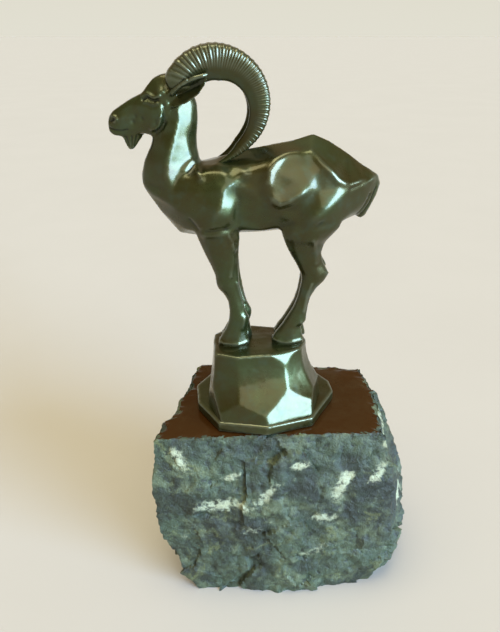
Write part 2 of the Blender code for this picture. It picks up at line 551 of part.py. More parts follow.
def build():
    for old in list(bpy.data.objects):
        bpy.data.objects.remove(old)

    bronze = material("dark bronze", (0.075, 0.07, 0.04), 0.28, 0.9)
    stone = material("green stone", (0.11, 0.14, 0.13), 0.7, 0.0)
    steel = material("zinc plated steel", (0.5, 0.5, 0.48), 0.35, 1.0)

    casting_base = STONE_HEIGHT + SEAT_GAP
    casting_place = (PLINTH_X, PLINTH_Y, casting_base)

    # The casting: the animal's fused skin, its horns, the rock and the foot plate.
    foot = helper(new_object("foot plate", prism(FOOT_CORNERS, 0.0, FOOT_THICKNESS), bronze, casting_place))
    soften_edges(foot, FOOT_EDGE_BEVEL)
    rock = helper(new_object("rock", rock_block(), bronze, casting_place))
    soften_edges(rock, ROCK_EDGE_BEVEL)
    horns = [helper(new_object(f"horn {side}", horn(side), bronze, casting_place)) for side in (-1, 1)]

    casting = new_object("ibex_casting", figure_skin(), bronze, casting_place)
    fuse = casting.modifiers.new("fuse masses", "REMESH")
    fuse.mode = "VOXEL"
    fuse.voxel_size = SKIN_VOXEL * MM
    smooth = casting.modifiers.new("soften facets", "SMOOTH")
    smooth.iterations = SKIN_SMOOTHING
    thin = casting.modifiers.new("fewer faces", "DECIMATE")
    thin.ratio = SKIN_TRIANGLE_SHARE
    for part in (*horns, rock, foot):
        boolean(casting, part, "UNION")
    hole_radius = STUD_RADIUS + THREAD_CLEARANCE
    hole_end = casting_base + STUD_GRIP + STUD_END
    hole = helper(bar("tapped hole", hole_radius, casting_base - CUTTER_OVERRUN, hole_end))
    boolean(casting, hole, "DIFFERENCE")

    # The stone, sawn flat at both ends and bored from below for the fixing.
    rough = bmesh.new()
    loft(rough, stone_rings())
    block = new_object("stone_block", rough, stone)
    facets = block.modifiers.new("fewer faces", "DECIMATE")
    facets.ratio = STONE_TRIANGLE_SHARE
    reach = 2 * max(corner.length for corner in stone_outline(STONE_WIDEST))
    corners = [(x * reach, y * reach) for x, y in ((-1, -1), (1, -1), (1, 1), (-1, 1))]
    boolean(block, helper(new_object("sawn slab", prism(corners, 0.0, STONE_HEIGHT))), "INTERSECT")
    bore_radius = STUD_RADIUS + BORE_CLEARANCE
    bore = helper(bar("stone bore", bore_radius, -CUTTER_OVERRUN, STONE_HEIGHT + CUTTER_OVERRUN))
    recess_radius = WASHER_RADIUS + RECESS_CLEARANCE
    recess = helper(bar("nut recess", recess_radius, -CUTTER_OVERRUN, RECESS_DEPTH))
    boolean(block, bore, "DIFFERENCE")
    boolean(block, recess, "DIFFERENCE")

    # The fixing: a stud screwed up into the rock, with a washer and a nut in the recess.
    washer_top = RECESS_DEPTH - SEAT_GAP
    nut_top = washer_top - WASHER_THICKNESS - SEAT_GAP
    nut_bottom = nut_top - NUT_THICKNESS
    stud = bar("fixing_stud", STUD_RADIUS, nut_bottom - STUD_END, casting_base + STUD_GRIP, steel)
    washer = bar("fixing_washer", WASHER_RADIUS, washer_top - WASHER_THICKNESS, washer_top, steel)
    nut = bar("fixing_nut", NUT_RADIUS, nut_bottom, nut_top, steel, segments=6)
    thread = helper(bar("thread clearance", hole_radius, -CUTTER_OVERRUN, RECESS_DEPTH + CUTTER_OVERRUN))
    boolean(washer, thread, "DIFFERENCE")
    boolean(nut, thread, "DIFFERENCE")
    for part in (stud, washer, nut):
        soften_edges(part, FIXING_EDGE_BEVEL, 1)


build()
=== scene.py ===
"""The dressed scene of a bronze ibex on a rough block of green stone.

The ibex faces -X. The tables and sizes are in millimetres, as in the part's source, whose names
they share, and are turned into metres as each mesh is made.
"""

import math

import bmesh
import bpy
import numpy as np
from mathutils import Matrix, Vector, noise
from mathutils.geometry import delaunay_2d_cdt


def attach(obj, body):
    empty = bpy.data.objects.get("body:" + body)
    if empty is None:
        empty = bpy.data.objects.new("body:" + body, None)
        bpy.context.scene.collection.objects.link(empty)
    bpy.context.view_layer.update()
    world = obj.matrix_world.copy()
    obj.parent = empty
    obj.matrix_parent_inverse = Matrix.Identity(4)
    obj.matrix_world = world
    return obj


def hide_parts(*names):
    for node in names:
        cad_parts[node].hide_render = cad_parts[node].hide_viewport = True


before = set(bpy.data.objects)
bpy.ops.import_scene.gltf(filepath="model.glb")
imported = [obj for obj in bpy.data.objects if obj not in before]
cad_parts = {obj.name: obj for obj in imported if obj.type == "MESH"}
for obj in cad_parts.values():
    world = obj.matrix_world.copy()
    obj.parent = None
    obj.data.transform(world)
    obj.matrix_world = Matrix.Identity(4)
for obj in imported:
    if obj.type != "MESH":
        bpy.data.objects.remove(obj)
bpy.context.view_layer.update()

MM = 0.001

# Seating
SEAT_GAP = 0.3

# Stone block
STONE_HEIGHT = 70.0
STONE_GRID = 0.75
STONE_CHIP_SIZE = 13.0
STONE_CHIP_STEP = 1.1
STONE_CHIP_TILT = 2.2
STONE_STEP_SHUFFLE = 5.3
STONE_TILT_SHUFFLE = 9.7
STONE_GRAIN = 1.1
STONE_GRAIN_WAVES = 2.6
STONE_FINE_GRAIN = 0.55
STONE_FINE_WAVES = 7.0
STONE_FINEST_GRAIN = 0.45 * STONE_FINE_GRAIN
STONE_FINEST_WAVES = 17.0
STONE_WIDEST = 0.42
STONE_MARGIN = 4.5
STONE_MARGIN_RINGS = 6
STONE_MARGIN_DROP = 1.6
STONE_MARGIN_WAVES = 0.22
STONE_MARGIN_FINE_DROP = 0.3
STONE_MARGIN_FINE_WAVES = 0.9
STONE_MARGIN_POWER = 1.5
STONE_RIM_DROP = 0.9
STONE_RIM_UNEVENNESS = 0.7
STONE_RIM_WAVES = 0.3
STONE_SHARP_ANGLE = 35.0
POLISH_LEAST_NORMAL = 0.96
POLISH_DEPTH = 0.4
STUD_BORE_RADIUS = 2.7
NUT_RECESS_RADIUS = 8.0
NUT_RECESS_DEPTH = 9.0
CUT_OVERRUN = 1.0

# Rock plinth, cast in one with the ibex
PLINTH_X = -5.2
PLINTH_Y = -3.7
PLINTH_HEIGHT = 25.2
FOOT_THICKNESS = 3.7
FOOT_SMOOTHING = 4
ROCK_SINK = 0.7
ROCK_SMOOTHING = 7
CAST_UNEVENNESS = 0.1
CAST_WAVES = 160.0
CAST_FINE_WAVES = 520.0
CAST_FINE_SHARE = 0.4

# Ibex
FIGURE_OFFSET_X = -3.5
FIGURE_OFFSET_Y = 1.4
FIGURE_TURN = math.radians(4.0)
HOOF_SINK = 0.6
FAR_LEG_LAG = 1.5
SKIN_VOXEL = 0.46
SKIN_SMOOTHING = 5
TRUNK_SMOOTHING = 15
CARVING_LEAST_NORMAL = 0.15
CARVING_FADE = 0.3
# How far each point stands out, used for the rubbed edges and for the painted shade in hollows
WEAR_AND_SHADE_REACH = 3
WEAR_AND_SHADE_SMOOTHING = 2
WEAR_AND_SHADE_RANGE = 0.3

# The trunk and the neck, which are smoothed more, and the widths over which that fades out.
TRUNK_HIND_X = 5.0
TRUNK_HIND_LOW = 36.0
TRUNK_FORE_LOW = 39.0
TRUNK_LOW_FADE = 5.0
TRUNK_BACK = 38.0
TRUNK_END_FADE = 3.0
NECK_LOW = 62.0
NECK_FRONT = -31.5
NECK_TOP = 75.0
NECK_TOP_FADE = 8.0

# The head, whose mesh is finer
HEAD_BACK = -19.0
HEAD_LOW = 66.0
HEAD_SMOOTHING = 2

# Horns
HORN_CENTRE_X = -10.25
HORN_CENTRE_Z = 78.3
HORN_OUTER_RADIUS = 15.75
HORN_ROOT_ANGLE = 166.0
HORN_ROOT_BLEND = 0.07
HORN_ROOT_START = 0.25
HORN_TIP_ANGLE = -94.0
HORN_TURN_PACE = 0.93
HORN_ROOT_DEPTH = 9.4
HORN_TIP_DEPTH = 1.3
HORN_TAPER_START = 0.31
HORN_DEPTH_TAPER = 0.85
HORN_WIDTH_TAPER = 0.7
HORN_ROOT_HALF_WIDTH = 3.2
HORN_TIP_HALF_WIDTH = 1.1
HORN_ROOT_Y = 3.5
HORN_MID_Y = 5.3
HORN_TIP_Y = 4.0
HORN_TIP_SINK = 2.2
HORN_SINK_START = 0.8
HORN_POINT_START = 0.13
HORN_POINT_SIZE = 0.2
HORN_POINT_POWER = 0.7
HORN_RIDGES = 40
HORN_RIDGE_PACE = 1.35
HORN_RINGS_PER_RIDGE = 8
HORN_RIDGE_LEAN = 1.1
HORN_LEAN_END = 0.5
HORN_LEAN_POWER = 1.3
HORN_RIDGE_INNER_END = 0.32
HORN_RIDGE_INNER_FADE = 0.3
HORN_RIDGE_ROOT_FADE = 8
HORN_RIDGE_TIP_FADE = 12
HORN_RIDGE_POWER = 1.4
HORN_RIDGE_PROFILE_SHARE = 0.3
HORN_CREST = 0.38
HORN_VALLEY = 0.22

# Camera, in metres, degrees and millimetres of film
CAMERA_PLACE = (-0.0087, -0.195, 0.193)
CAMERA_TILT = 65.2
CAMERA_LENS = 35.3
CAMERA_SENSOR = 36.0
CAMERA_NEAREST = 0.01

# Floor
FLOOR_REACH = 20000.0

# Lights: name, direction towards the light, apparent width in degrees, strength, colour.
LIGHTS = (
    ("window", (0.77, -0.6, 0.15), 38.0, 12.5, (0.46, 0.68, 1.0)),
    ("ceiling", (-0.12, -0.2, 1.0), 40.0, 2.1, (1.0, 0.93, 0.66)),
    ("room", (0.22, -0.82, 0.53), 32.0, 0.6, (1.0, 0.97, 0.78)),
)

# Sky colours by the sine of the height above the horizon
SKY = (
    (0.0, (0.755, 0.735, 0.635)),
    (0.2, (0.72, 0.69, 0.58)),
    (0.46, (0.38, 0.25, 0.11)),
    (0.66, (0.38, 0.3, 0.16)),
    (1.0, (0.85, 0.79, 0.56)),
)

# Colours
PATINA_BROWN = (0.038, 0.032, 0.006)
PATINA_OLIVE = (0.037, 0.048, 0.013)
PATINA_GREEN = (0.038, 0.056, 0.03)
# Painted shade, laid into the bronze's hollows
HOLLOW_PAINTED_SHADE = (0.01, 0.012, 0.004)
PATINA_RUBBED = (0.15, 0.16, 0.1)
STONE_DARK = (0.0118, 0.0172, 0.0093)
STONE_GREEN = (0.0414, 0.0623, 0.0322)
STONE_CLOUD = (0.0962, 0.119, 0.0589)
STONE_OCHRE = (0.126, 0.139, 0.0465)
STONE_PALE = (0.38, 0.4, 0.25)
STONE_PIT = (0.00666, 0.0115, 0.00682)
STONE_GLINT = (0.163, 0.205, 0.112)
# Painted reddish-brown reflection, mixed almost fully into the polished top's colour
POLISHED_PAINTED_REFLECTION = (0.036, 0.012, 0.002)
STEEL_DARK = (0.42, 0.42, 0.4)
STEEL_LIGHT = (0.6, 0.59, 0.56)
FLOOR_DARK = (0.455, 0.43, 0.41)
FLOOR_LIGHT = (0.485, 0.46, 0.44)

# A relief is an outline in profile, then the ridges of its two mirrored sides, as points of
# x, z and distance from the middle plane.
TRUNK_RELIEF = (
    ((-33.1, 57.6, 1.6), (-32.1, 60.4, 1.4), (-27.0, 62.0, 0.0), (-20.6, 61.6, 0.0),
        (-15.0, 60.9, 0.0), (-11.0, 61.7, 0.0), (-7.9, 62.9, 0.0), (-1.0, 64.8, 0.0),
        (5.6, 65.8, 0.0), (12.1, 66.9, 0.0), (19.5, 69.1, 0.0), (24.8, 66.8, 0.0),
        (30.2, 63.4, 0.0), (36.0, 59.2, 0.0), (40.4, 56.1, 1.2), (40.2, 51.8, 1.2),
        (39.5, 48.9, 1.2), (36.6, 44.9, 1.6), (32.6, 43.5, 2.4), (25.0, 41.2, 2.0),
        (19.0, 40.8, 2.0), (10.1, 39.6, 2.0), (4.4, 39.1, 2.0), (-3.3, 38.9, 2.0),
        (-10.9, 38.1, 2.0), (-16.0, 38.2, 2.0), (-22.2, 39.3, 2.0), (-28.0, 46.4, 2.0),
        (-30.7, 50.6, 1.8), (-32.6, 53.7, 1.6)),
    ((-15.8, 60.4, 4.6), (-11.0, 61.1, 5.6), (-4.3, 60.8, 7.6), (1.2, 61.8, 8.4), (6.4, 63.5, 9.0),
        (10.6, 64.8, 8.2), (17.5, 65.1, 7.4), (20.0, 63.0, 9.0), (23.6, 59.9, 10.6),
        (26.4, 57.0, 10.6), (28.9, 55.7, 9.6), (34.0, 55.7, 7.4), (37.7, 56.3, 4.6)),
    ((-20.0, 57.8, 7.6), (-15.5, 59.4, 8.4), (-11.1, 59.7, 9.0), (-6.5, 59.0, 9.8),
        (-1.0, 59.5, 10.2), (3.4, 61.0, 10.4)),
    ((10.6, 64.8, 8.2), (6.9, 62.9, 10.2), (4.9, 60.5, 11.2), (4.3, 56.9, 12.0), (5.7, 52.4, 13.0),
        (7.9, 50.7, 13.3), (10.3, 51.2, 13.2), (14.5, 53.7, 12.6), (17.2, 56.4, 11.6),
        (18.7, 60.1, 10.1), (17.5, 65.1, 7.4)),
    ((7.8, 59.8, 10.8), (9.5, 54.8, 11.9), (13.6, 57.0, 11.4), (13.1, 61.3, 9.8),
        (7.8, 59.8, 10.8)),
    ((-2.8, 54.3, 11.4), (1.9, 55.9, 11.2)),
    ((3.4, 50.6, 11.4), (7.6, 47.8, 11.4), (11.8, 48.9, 11.4), (15.2, 51.1, 12.0)),
    ((-3.6, 41.3, 7.6), (3.8, 41.1, 7.6), (9.9, 42.1, 8.2)),
    ((19.7, 54.5, 11.3), (16.8, 49.9, 12.0), (13.7, 45.2, 11.4)),
    ((28.9, 55.7, 9.6), (26.4, 54.8, 10.8), (24.0, 51.8, 12.2), (20.9, 49.1, 13.4),
        (18.2, 46.0, 13.9), (16.1, 42.6, 12.3)),
    ((30.4, 54.7, 9.3), (28.8, 53.4, 10.2), (26.3, 51.2, 11.6), (23.2, 48.8, 13.0),
        (20.5, 45.7, 13.5), (18.0, 42.4, 12.1)),
    ((30.4, 54.7, 9.3), (28.9, 55.7, 9.6)),
    ((35.8, 49.2, 4.8), (31.2, 46.0, 7.0), (26.9, 43.5, 9.4)),
    ((-24.9, 53.8, 8.0), (-18.9, 54.2, 10.0), (-13.6, 54.4, 11.0)),
    ((-30.5, 52.9, 4.8), (-22.7, 49.4, 9.8), (-14.7, 49.4, 12.4), (-14.5, 44.9, 12.5),
        (-13.7, 41.8, 11.6)),
    ((-3.6, 58.2, 10.7), (-6.9, 56.2, 11.8), (-9.0, 55.2, 12.4), (-9.2, 53.2, 12.8),
        (-9.4, 50.7, 13.5), (-10.9, 47.6, 14.2), (-11.6, 44.2, 13.4)),
    ((-3.3, 57.1, 10.3), (-4.8, 55.7, 10.9), (-6.3, 54.1, 11.5), (-6.0, 50.9, 11.8),
        (-5.7, 49.1, 12.1), (-6.8, 46.5, 12.8), (-9.2, 43.2, 12.2)),
    ((-4.2, 53.2, 10.5), (-4.3, 47.4, 10.2), (-4.3, 43.4, 9.4)),
    ((-24.9, 44.9, 5.4), (-20.1, 41.9, 7.4)),
)
NECK_RELIEF = (
    ((-27.7, 70.5, 2.2), (-28.9, 68.7, 2.2), (-29.6, 66.2, 2.2), (-30.9, 63.7, 2.4),
        (-32.1, 61.2, 2.6), (-32.5, 58.7, 2.6), (-32.9, 55.1, 2.6), (-30.7, 51.4, 2.6),
        (-23.3, 48.6, 3.0), (-13.9, 53.1, 3.0), (-15.2, 61.9, 1.8), (-15.9, 65.4, 1.4),
        (-15.9, 68.5, 1.2), (-15.4, 73.4, 1.2), (-15.5, 77.8, 1.2), (-16.3, 80.1, 1.2),
        (-18.4, 82.8, 2.0), (-23.6, 82.4, 2.4), (-26.1, 78.0, 2.4), (-26.9, 73.6, 2.4)),
    ((-24.3, 78.7, 3.4), (-25.4, 74.3, 3.5), (-27.1, 69.3, 3.5), (-28.5, 65.3, 3.7),
        (-29.9, 61.4, 4.4), (-30.4, 57.4, 5.0)),
    ((-21.8, 79.6, 4.6), (-21.1, 76.9, 4.7), (-21.0, 74.4, 4.9), (-22.0, 70.9, 5.7),
        (-23.2, 67.9, 6.5), (-24.3, 64.9, 7.2), (-25.2, 61.9, 7.8), (-25.6, 58.0, 8.4),
        (-23.7, 53.0, 8.4)),
    ((-17.3, 78.8, 2.5), (-17.0, 75.5, 2.7), (-17.4, 71.9, 3.3), (-18.9, 69.0, 4.3),
        (-18.5, 66.2, 4.5), (-17.7, 63.9, 4.4), (-19.3, 61.5, 5.4), (-21.1, 59.4, 6.6),
        (-22.4, 56.1, 7.6)),
    ((-17.2, 63.5, 3.8), (-17.0, 59.2, 6.0)),
)
HEAD_RELIEF = (
    ((-22.8, 86.3, 3.0), (-25.6, 86.0, 2.6), (-27.9, 84.9, 2.4), (-29.8, 82.8, 2.4),
        (-31.3, 80.9, 2.2), (-34.6, 79.4, 1.9), (-37.6, 77.6, 1.7), (-40.1, 76.0, 1.4),
        (-41.3, 74.6, 1.2), (-41.8, 72.5, 1.2), (-41.6, 70.2, 1.2), (-40.4, 69.1, 1.3),
        (-38.1, 68.8, 1.5), (-35.4, 69.5, 1.6), (-31.9, 69.8, 2.0), (-29.0, 69.1, 2.4),
        (-26.6, 70.0, 2.6), (-24.1, 72.5, 2.8), (-21.0, 76.4, 2.8), (-17.4, 79.6, 2.4),
        (-17.0, 83.4, 2.6), (-19.4, 85.6, 3.0)),
    ((-21.2, 83.8, 4.2), (-24.2, 84.1, 4.0), (-26.8, 83.0, 3.8), (-28.6, 81.4, 3.6),
        (-30.4, 80.1, 3.2), (-34.1, 78.1, 2.5), (-37.4, 76.5, 2.2)),
    ((-30.4, 80.1, 3.2), (-29.2, 80.0, 4.5), (-27.5, 79.4, 5.1), (-26.5, 78.3, 4.9)),
    ((-25.7, 81.8, 5.0), (-23.8, 80.2, 5.0), (-21.3, 80.4, 4.6)),
    ((-29.4, 78.7, 3.7), (-28.0, 78.0, 4.2)),
    ((-32.9, 77.5, 3.2), (-30.6, 77.2, 4.2), (-28.3, 76.4, 4.9)),
    ((-34.9, 74.6, 2.8), (-32.0, 74.3, 3.2), (-30.0, 73.8, 3.8)),
    ((-28.1, 75.6, 5.0), (-26.5, 77.0, 5.4), (-25.5, 75.4, 5.5), (-25.9, 73.2, 5.3),
        (-27.5, 71.7, 4.8), (-29.2, 72.2, 4.4), (-28.1, 75.6, 5.0)),
    ((-38.2, 70.3, 2.1), (-34.3, 70.8, 2.5), (-31.4, 71.0, 3.1), (-28.8, 70.4, 3.5),
        (-26.4, 71.6, 3.9), (-24.5, 74.4, 4.1)),
    ((-38.1, 73.8, 2.9), (-39.5, 73.9, 2.5)),
    ((-40.4, 71.5, 2.0), (-38.0, 71.5, 2.6)),
)

# Each section of a limb runs from a front point to a back point of its outline in profile:
# front x, front z, back x, back z, distance from the middle plane, half thickness.
BEARD_SECTIONS = (
    (-38.3, 70.3, -31.0, 70.6, 0.0, 1.9),
    (-37.8, 68.1, -31.8, 68.8, 0.0, 1.7),
    (-37.1, 66.2, -33.3, 66.8, 0.0, 1.4),
    (-36.3, 64.7, -34.8, 64.8, 0.0, 0.9),
)
TAIL_SECTIONS = (
    (35.6, 57.0, 40.2, 56.6, 0.0, 2.2),
    (37.4, 53.2, 41.3, 53.6, 0.0, 2.4),
    (36.6, 48.6, 40.3, 49.8, 0.0, 2.4),
    (35.0, 45.8, 38.7, 46.2, 0.0, 2.1),
    (33.7, 43.7, 37.3, 43.2, 0.0, 1.6),
    (34.3, 42.6, 36.3, 42.4, 0.0, 1.0),
)
FORE_LEG_SECTIONS = (
    (-17.0, 50.0, -7.4, 51.0, 8.0, 3.6),
    (-17.8, 43.0, -5.6, 45.2, 8.2, 4.6),
    (-16.4, 38.6, -3.6, 39.4, 7.0, 4.0),
    (-14.5, 33.4, -3.9, 33.6, 5.9, 3.4),
    (-12.7, 29.2, -4.0, 29.0, 5.1, 3.0),
    (-11.4, 25.6, -3.9, 25.6, 4.6, 2.8),
    (-11.2, 22.6, -3.7, 22.6, 4.3, 2.7),
    (-10.5, 20.8, -3.4, 20.8, 4.1, 2.4),
    (-8.8, 18.8, -3.1, 18.8, 3.9, 2.1),
    (-7.4, 16.0, -2.6, 16.0, 3.7, 2.0),
    (-7.0, 12.6, -1.7, 12.6, 3.5, 2.1),
    (-7.1, 10.2, -0.3, 9.9, 3.4, 2.4),
    (-7.4, 8.2, -0.4, 7.9, 3.3, 2.4),
    (-8.3, 5.8, -1.2, 5.8, 3.3, 2.4),
    (-9.7, 3.4, -0.9, 3.4, 3.3, 2.6),
    (-10.9, 1.2, -0.4, 1.2, 3.3, 2.8),
    (-11.0, -HOOF_SINK, -0.3, -HOOF_SINK, 3.3, 2.8),
)
HIND_LEG_SECTIONS = (
    (12.5, 47.0, 28.0, 46.0, 7.6, 4.3),
    (9.4, 41.4, 27.6, 41.8, 7.4, 4.9),
    (9.8, 39.2, 24.9, 38.8, 7.0, 4.7),
    (10.9, 36.2, 23.3, 36.6, 6.2, 3.9),
    (12.7, 32.4, 22.5, 32.8, 5.3, 3.2),
    (14.7, 29.0, 23.4, 29.4, 4.7, 2.9),
    (16.3, 25.6, 25.6, 25.4, 4.3, 2.9),
    (16.7, 23.2, 24.3, 22.8, 4.1, 2.6),
    (16.3, 20.4, 21.9, 20.2, 3.9, 2.3),
    (15.6, 16.8, 20.1, 17.0, 3.6, 2.1),
    (14.3, 13.0, 19.3, 13.4, 3.4, 2.2),
    (12.6, 10.0, 19.0, 10.1, 3.3, 2.4),
    (11.4, 8.0, 18.8, 7.9, 3.3, 2.5),
    (10.3, 6.2, 16.9, 6.3, 3.3, 2.4),
    (8.5, 4.0, 17.5, 4.2, 3.3, 2.6),
    (7.2, 1.6, 18.1, 1.6, 3.3, 2.8),
    (7.3, -HOOF_SINK, 18.4, -HOOF_SINK, 3.3, 2.8),
)
EAR_SECTIONS = (
    (-24.4, 80.4, -23.6, 77.0, 4.4, 1.2),
    (-22.4, 82.6, -21.6, 77.4, 5.4, 1.9),
    (-19.0, 84.6, -18.2, 78.6, 6.6, 2.1),
    (-15.8, 85.9, -15.0, 80.8, 7.5, 1.7),
    (-13.2, 86.6, -12.8, 83.6, 8.0, 1.0),
    (-12.0, 87.0, -11.9, 86.2, 8.3, 0.4),
)

# Section shapes: share of the way from front to back, share of the half thickness. On the horns
# the way runs from the inside of the curve to the outside.
LIMB_SHAPE = ((0.0, 0.34), (0.18, 0.84), (0.48, 1.0), (0.64, 0.96), (0.87, 0.6), (1.0, 0.25))
TUFT_SHAPE = ((0.0, 0.2), (0.3, 0.9), (0.7, 0.9), (1.0, 0.2))
EAR_OUTER_SHAPE = ((0.0, 0.7), (0.16, 0.5), (0.45, -0.6), (0.8, -0.1), (1.0, 0.6))
EAR_INNER_SHAPE = ((0.0, 0.0), (0.16, 0.5), (0.45, 1.2), (0.8, 0.8), (1.0, 0.0))
HORN_SHAPE = ((1.0, 0.5), (0.86, 0.94), (0.48, 1.0), (0.16, 0.6), (0.0, 0.2))

# Strokes that carve the skin, or raise it, on both sides: half width, height, points of x and z.
CARVINGS = (
    (0.45, -0.5, ((-30.9, 79.5), (-29.8, 80.0), (-28.7, 79.4), (-27.7, 79.0), (-26.6, 79.4))),
    (0.55, 0.35, ((-31.0, 80.2), (-29.7, 80.9), (-28.3, 80.3), (-27.0, 80.0), (-26.0, 80.3))),
    (0.45, 0.3, ((-30.4, 78.8), (-29.3, 78.6), (-28.1, 78.2), (-26.9, 78.4))),
    (0.9, 0.3, ((-26.3, 81.0), (-25.2, 81.5))),
    (0.8, -0.35, ((-33.4, 74.8), (-33.3, 74.6))),
    (0.8, -0.35, ((-34.1, 73.4), (-34.0, 73.2))),
    (0.7, -0.3, ((-31.5, 74.4), (-31.4, 74.2))),
    (0.45, 0.35, ((-26.1, 74.8), (-26.3, 73.5), (-26.8, 72.1), (-28.0, 71.2), (-29.2, 71.4))),
    (1.0, -0.3, ((-27.6, 73.4), (-27.4, 72.9))),
    (0.6, -0.4, ((-25.0, 78.0), (-24.8, 75.9), (-24.8, 73.4), (-25.9, 71.5), (-27.8, 70.1))),
    (0.4, -0.6, ((-41.1, 73.2), (-40.4, 73.6), (-39.9, 73.8))),
    (0.4, 0.35, ((-40.1, 74.7), (-39.2, 74.5), (-38.9, 73.8), (-39.5, 73.1))),
    (0.35, -0.4, ((-41.4, 71.4), (-40.2, 70.8), (-38.7, 70.5), (-37.6, 70.5), (-36.0, 70.9))),
    (0.3, -0.35, ((-36.8, 68.8), (-36.1, 65.9))),
    (0.3, -0.35, ((-35.0, 68.9), (-35.3, 65.3))),
    (0.3, -0.35, ((-33.5, 68.9), (-34.4, 66.2))),
    (0.5, 0.6, ((-22.4, 81.2), (-21.7, 81.9), (-20.5, 83.0), (-18.0, 84.6), (-15.2, 85.6),
        (-12.9, 86.1))),
    (0.7, -0.4, ((-20.6, 81.1), (-18.4, 82.2), (-15.5, 83.5))),
    (0.8, 0.25, ((-19.9, 59.8), (-18.9, 60.9), (-17.5, 62.1))),
    (0.9, 0.4, ((-16.5, 61.3), (-15.7, 59.7), (-15.0, 57.6))),
    (0.8, -0.25, ((-18.3, 58.9), (-17.1, 61.0))),
    (0.7, -0.35, ((-14.8, 59.9), (-12.9, 62.2))),
    (1.4, 0.45, ((-10.8, 61.6), (-9.3, 60.5), (-7.9, 58.7))),
    (1.2, 0.4, ((-5.3, 60.8), (-3.5, 60.4), (-2.1, 59.5))),
    (0.7, -0.3, ((-18.8, 45.8), (-16.4, 42.7))),
    (1.0, 0.3, ((-14.6, 40.8), (-11.0, 41.1), (-7.4, 41.3), (-5.0, 43.0))),
    (1.1, 0.24, ((4.5, 56.9), (5.1, 60.5), (6.8, 62.9), (10.2, 64.5), (13.3, 65.3))),
    (1.1, 0.3, ((6.1, 51.9), (8.1, 50.5), (10.3, 51.1), (14.5, 53.4))),
    (1.1, 0.3, ((17.9, 64.7), (19.6, 63.0), (23.4, 59.5), (25.7, 56.9), (27.9, 55.9))),
    (0.8, -0.2, ((-14.3, 42.4), (-11.0, 42.7), (-8.0, 43.1))),
    (0.8, 0.4, ((-7.1, 40.2), (-6.0, 38.0), (-5.4, 35.4))),
    (0.8, -0.3, ((30.1, 54.1), (33.4, 54.9), (36.6, 56.4))),
    (0.6, 0.3, ((9.3, 41.3), (10.9, 37.4), (12.3, 34.4))),
    (0.9, 0.35, ((-6.5, 37.0), (-5.9, 31.8), (-6.6, 26.1))),
    (0.5, 0.35, ((-4.6, 23.2), (-3.3, 18.2), (-1.7, 13.2))),
    (0.7, 0.3, ((-2.0, 10.8), (-2.7, 6.4))),
    (0.9, 0.35, ((18.9, 38.5), (20.0, 33.9), (20.8, 29.9))),
    (0.5, 0.35, ((19.8, 22.5), (18.4, 17.6), (17.6, 12.2))),
    (0.8, 0.3, ((17.1, 8.0), (17.6, 4.2))),
    (0.5, 0.35, ((-11.9, 2.4), (-9.1, 1.2), (-3.6, 0.8), (-0.6, 1.2))),
    (0.5, 0.35, ((7.6, 2.0), (11.0, 1.0), (17.6, 1.2))),
    (0.4, -0.35, ((39.5, 52.7), (37.7, 47.6), (35.5, 44.1))),
    (0.4, -0.35, ((37.5, 51.1), (35.6, 46.7), (33.8, 44.5))),
)

# Rock plinth: plan corners round its middle.
ROCK_TOP = (
    (-15.4, -9.8), (-7.8, -12.6), (8.3, -9.9), (13.9, -5.4), (16.0, 1.0),
    (14.0, 9.0), (4.0, 12.6), (-9.0, 12.4), (-16.4, 5.0),
)
ROCK_SPREAD = (
    (-19.1, -17.5), (-7.0, -23.4), (11.8, -23.6), (26.0, -13.5), (28.0, 2.0),
    (24.0, 16.0), (6.0, 25.0), (-13.0, 24.0), (-22.0, 8.0),
)
ROCK_LEVELS = 22
ROCK_FLARE_POWER = 2.2

# Corners round the rock's foot, and how far the facet from each to the next leans, in degrees.
ROCK_CUTS = (
    (-18.2, -6.0, 0.0), (-13.5, -18.1, 14.5), (2.4, -20.4, 22.0), (17.8, -13.8, 6.0),
    (21.8, 1.7, 9.0), (17.0, 14.0, 15.0), (-4.0, 18.4, 14.0), (-17.6, 12.0, 5.0),
)
FOOT_CORNERS = (
    (-23.1, 6.1), (-21.8, -5.5), (-14.0, -18.4), (2.4, -21.0), (17.8, -15.4),
    (26.7, 1.9), (26.0, 8.9), (19.0, 20.0), (-15.5, 20.0),
)

# Stone outlines, as plan corners at shares of the height.
STONE_OUTLINES = (
    (0.0, (
        (-28.0, -24.5), (10.0, -25.5), (38.0, -20.5), (47.5, -8.0),
        (44.0, 14.0), (20.0, 24.0), (-12.0, 23.0), (-27.0, 8.0),
    )),
    (0.16, (
        (-35.0, -26.0), (8.0, -27.5), (41.5, -23.5), (51.6, -8.0),
        (47.0, 18.0), (20.0, 27.5), (-18.0, 26.0), (-34.0, 8.0),
    )),
    (0.42, (
        (-41.0, -26.5), (4.0, -28.2), (42.0, -25.0), (51.0, -6.0),
        (45.0, 22.0), (16.0, 28.6), (-24.0, 27.0), (-39.5, 6.0),
    )),
    (0.74, (
        (-42.4, -27.4), (0.0, -27.6), (40.5, -25.0), (46.5, -4.0),
        (42.0, 24.0), (8.0, 28.4), (-30.0, 27.0), (-38.0, 4.0),
    )),
    (1.0, (
        (-40.6, -26.4), (-2.0, -25.6), (36.4, -22.8), (38.0, -2.0),
        (35.6, 22.0), (4.0, 26.0), (-29.0, 25.6), (-35.2, 0.0),
    )),
)
STONE_SEED = Vector((3.7, 1.9, 8.3))

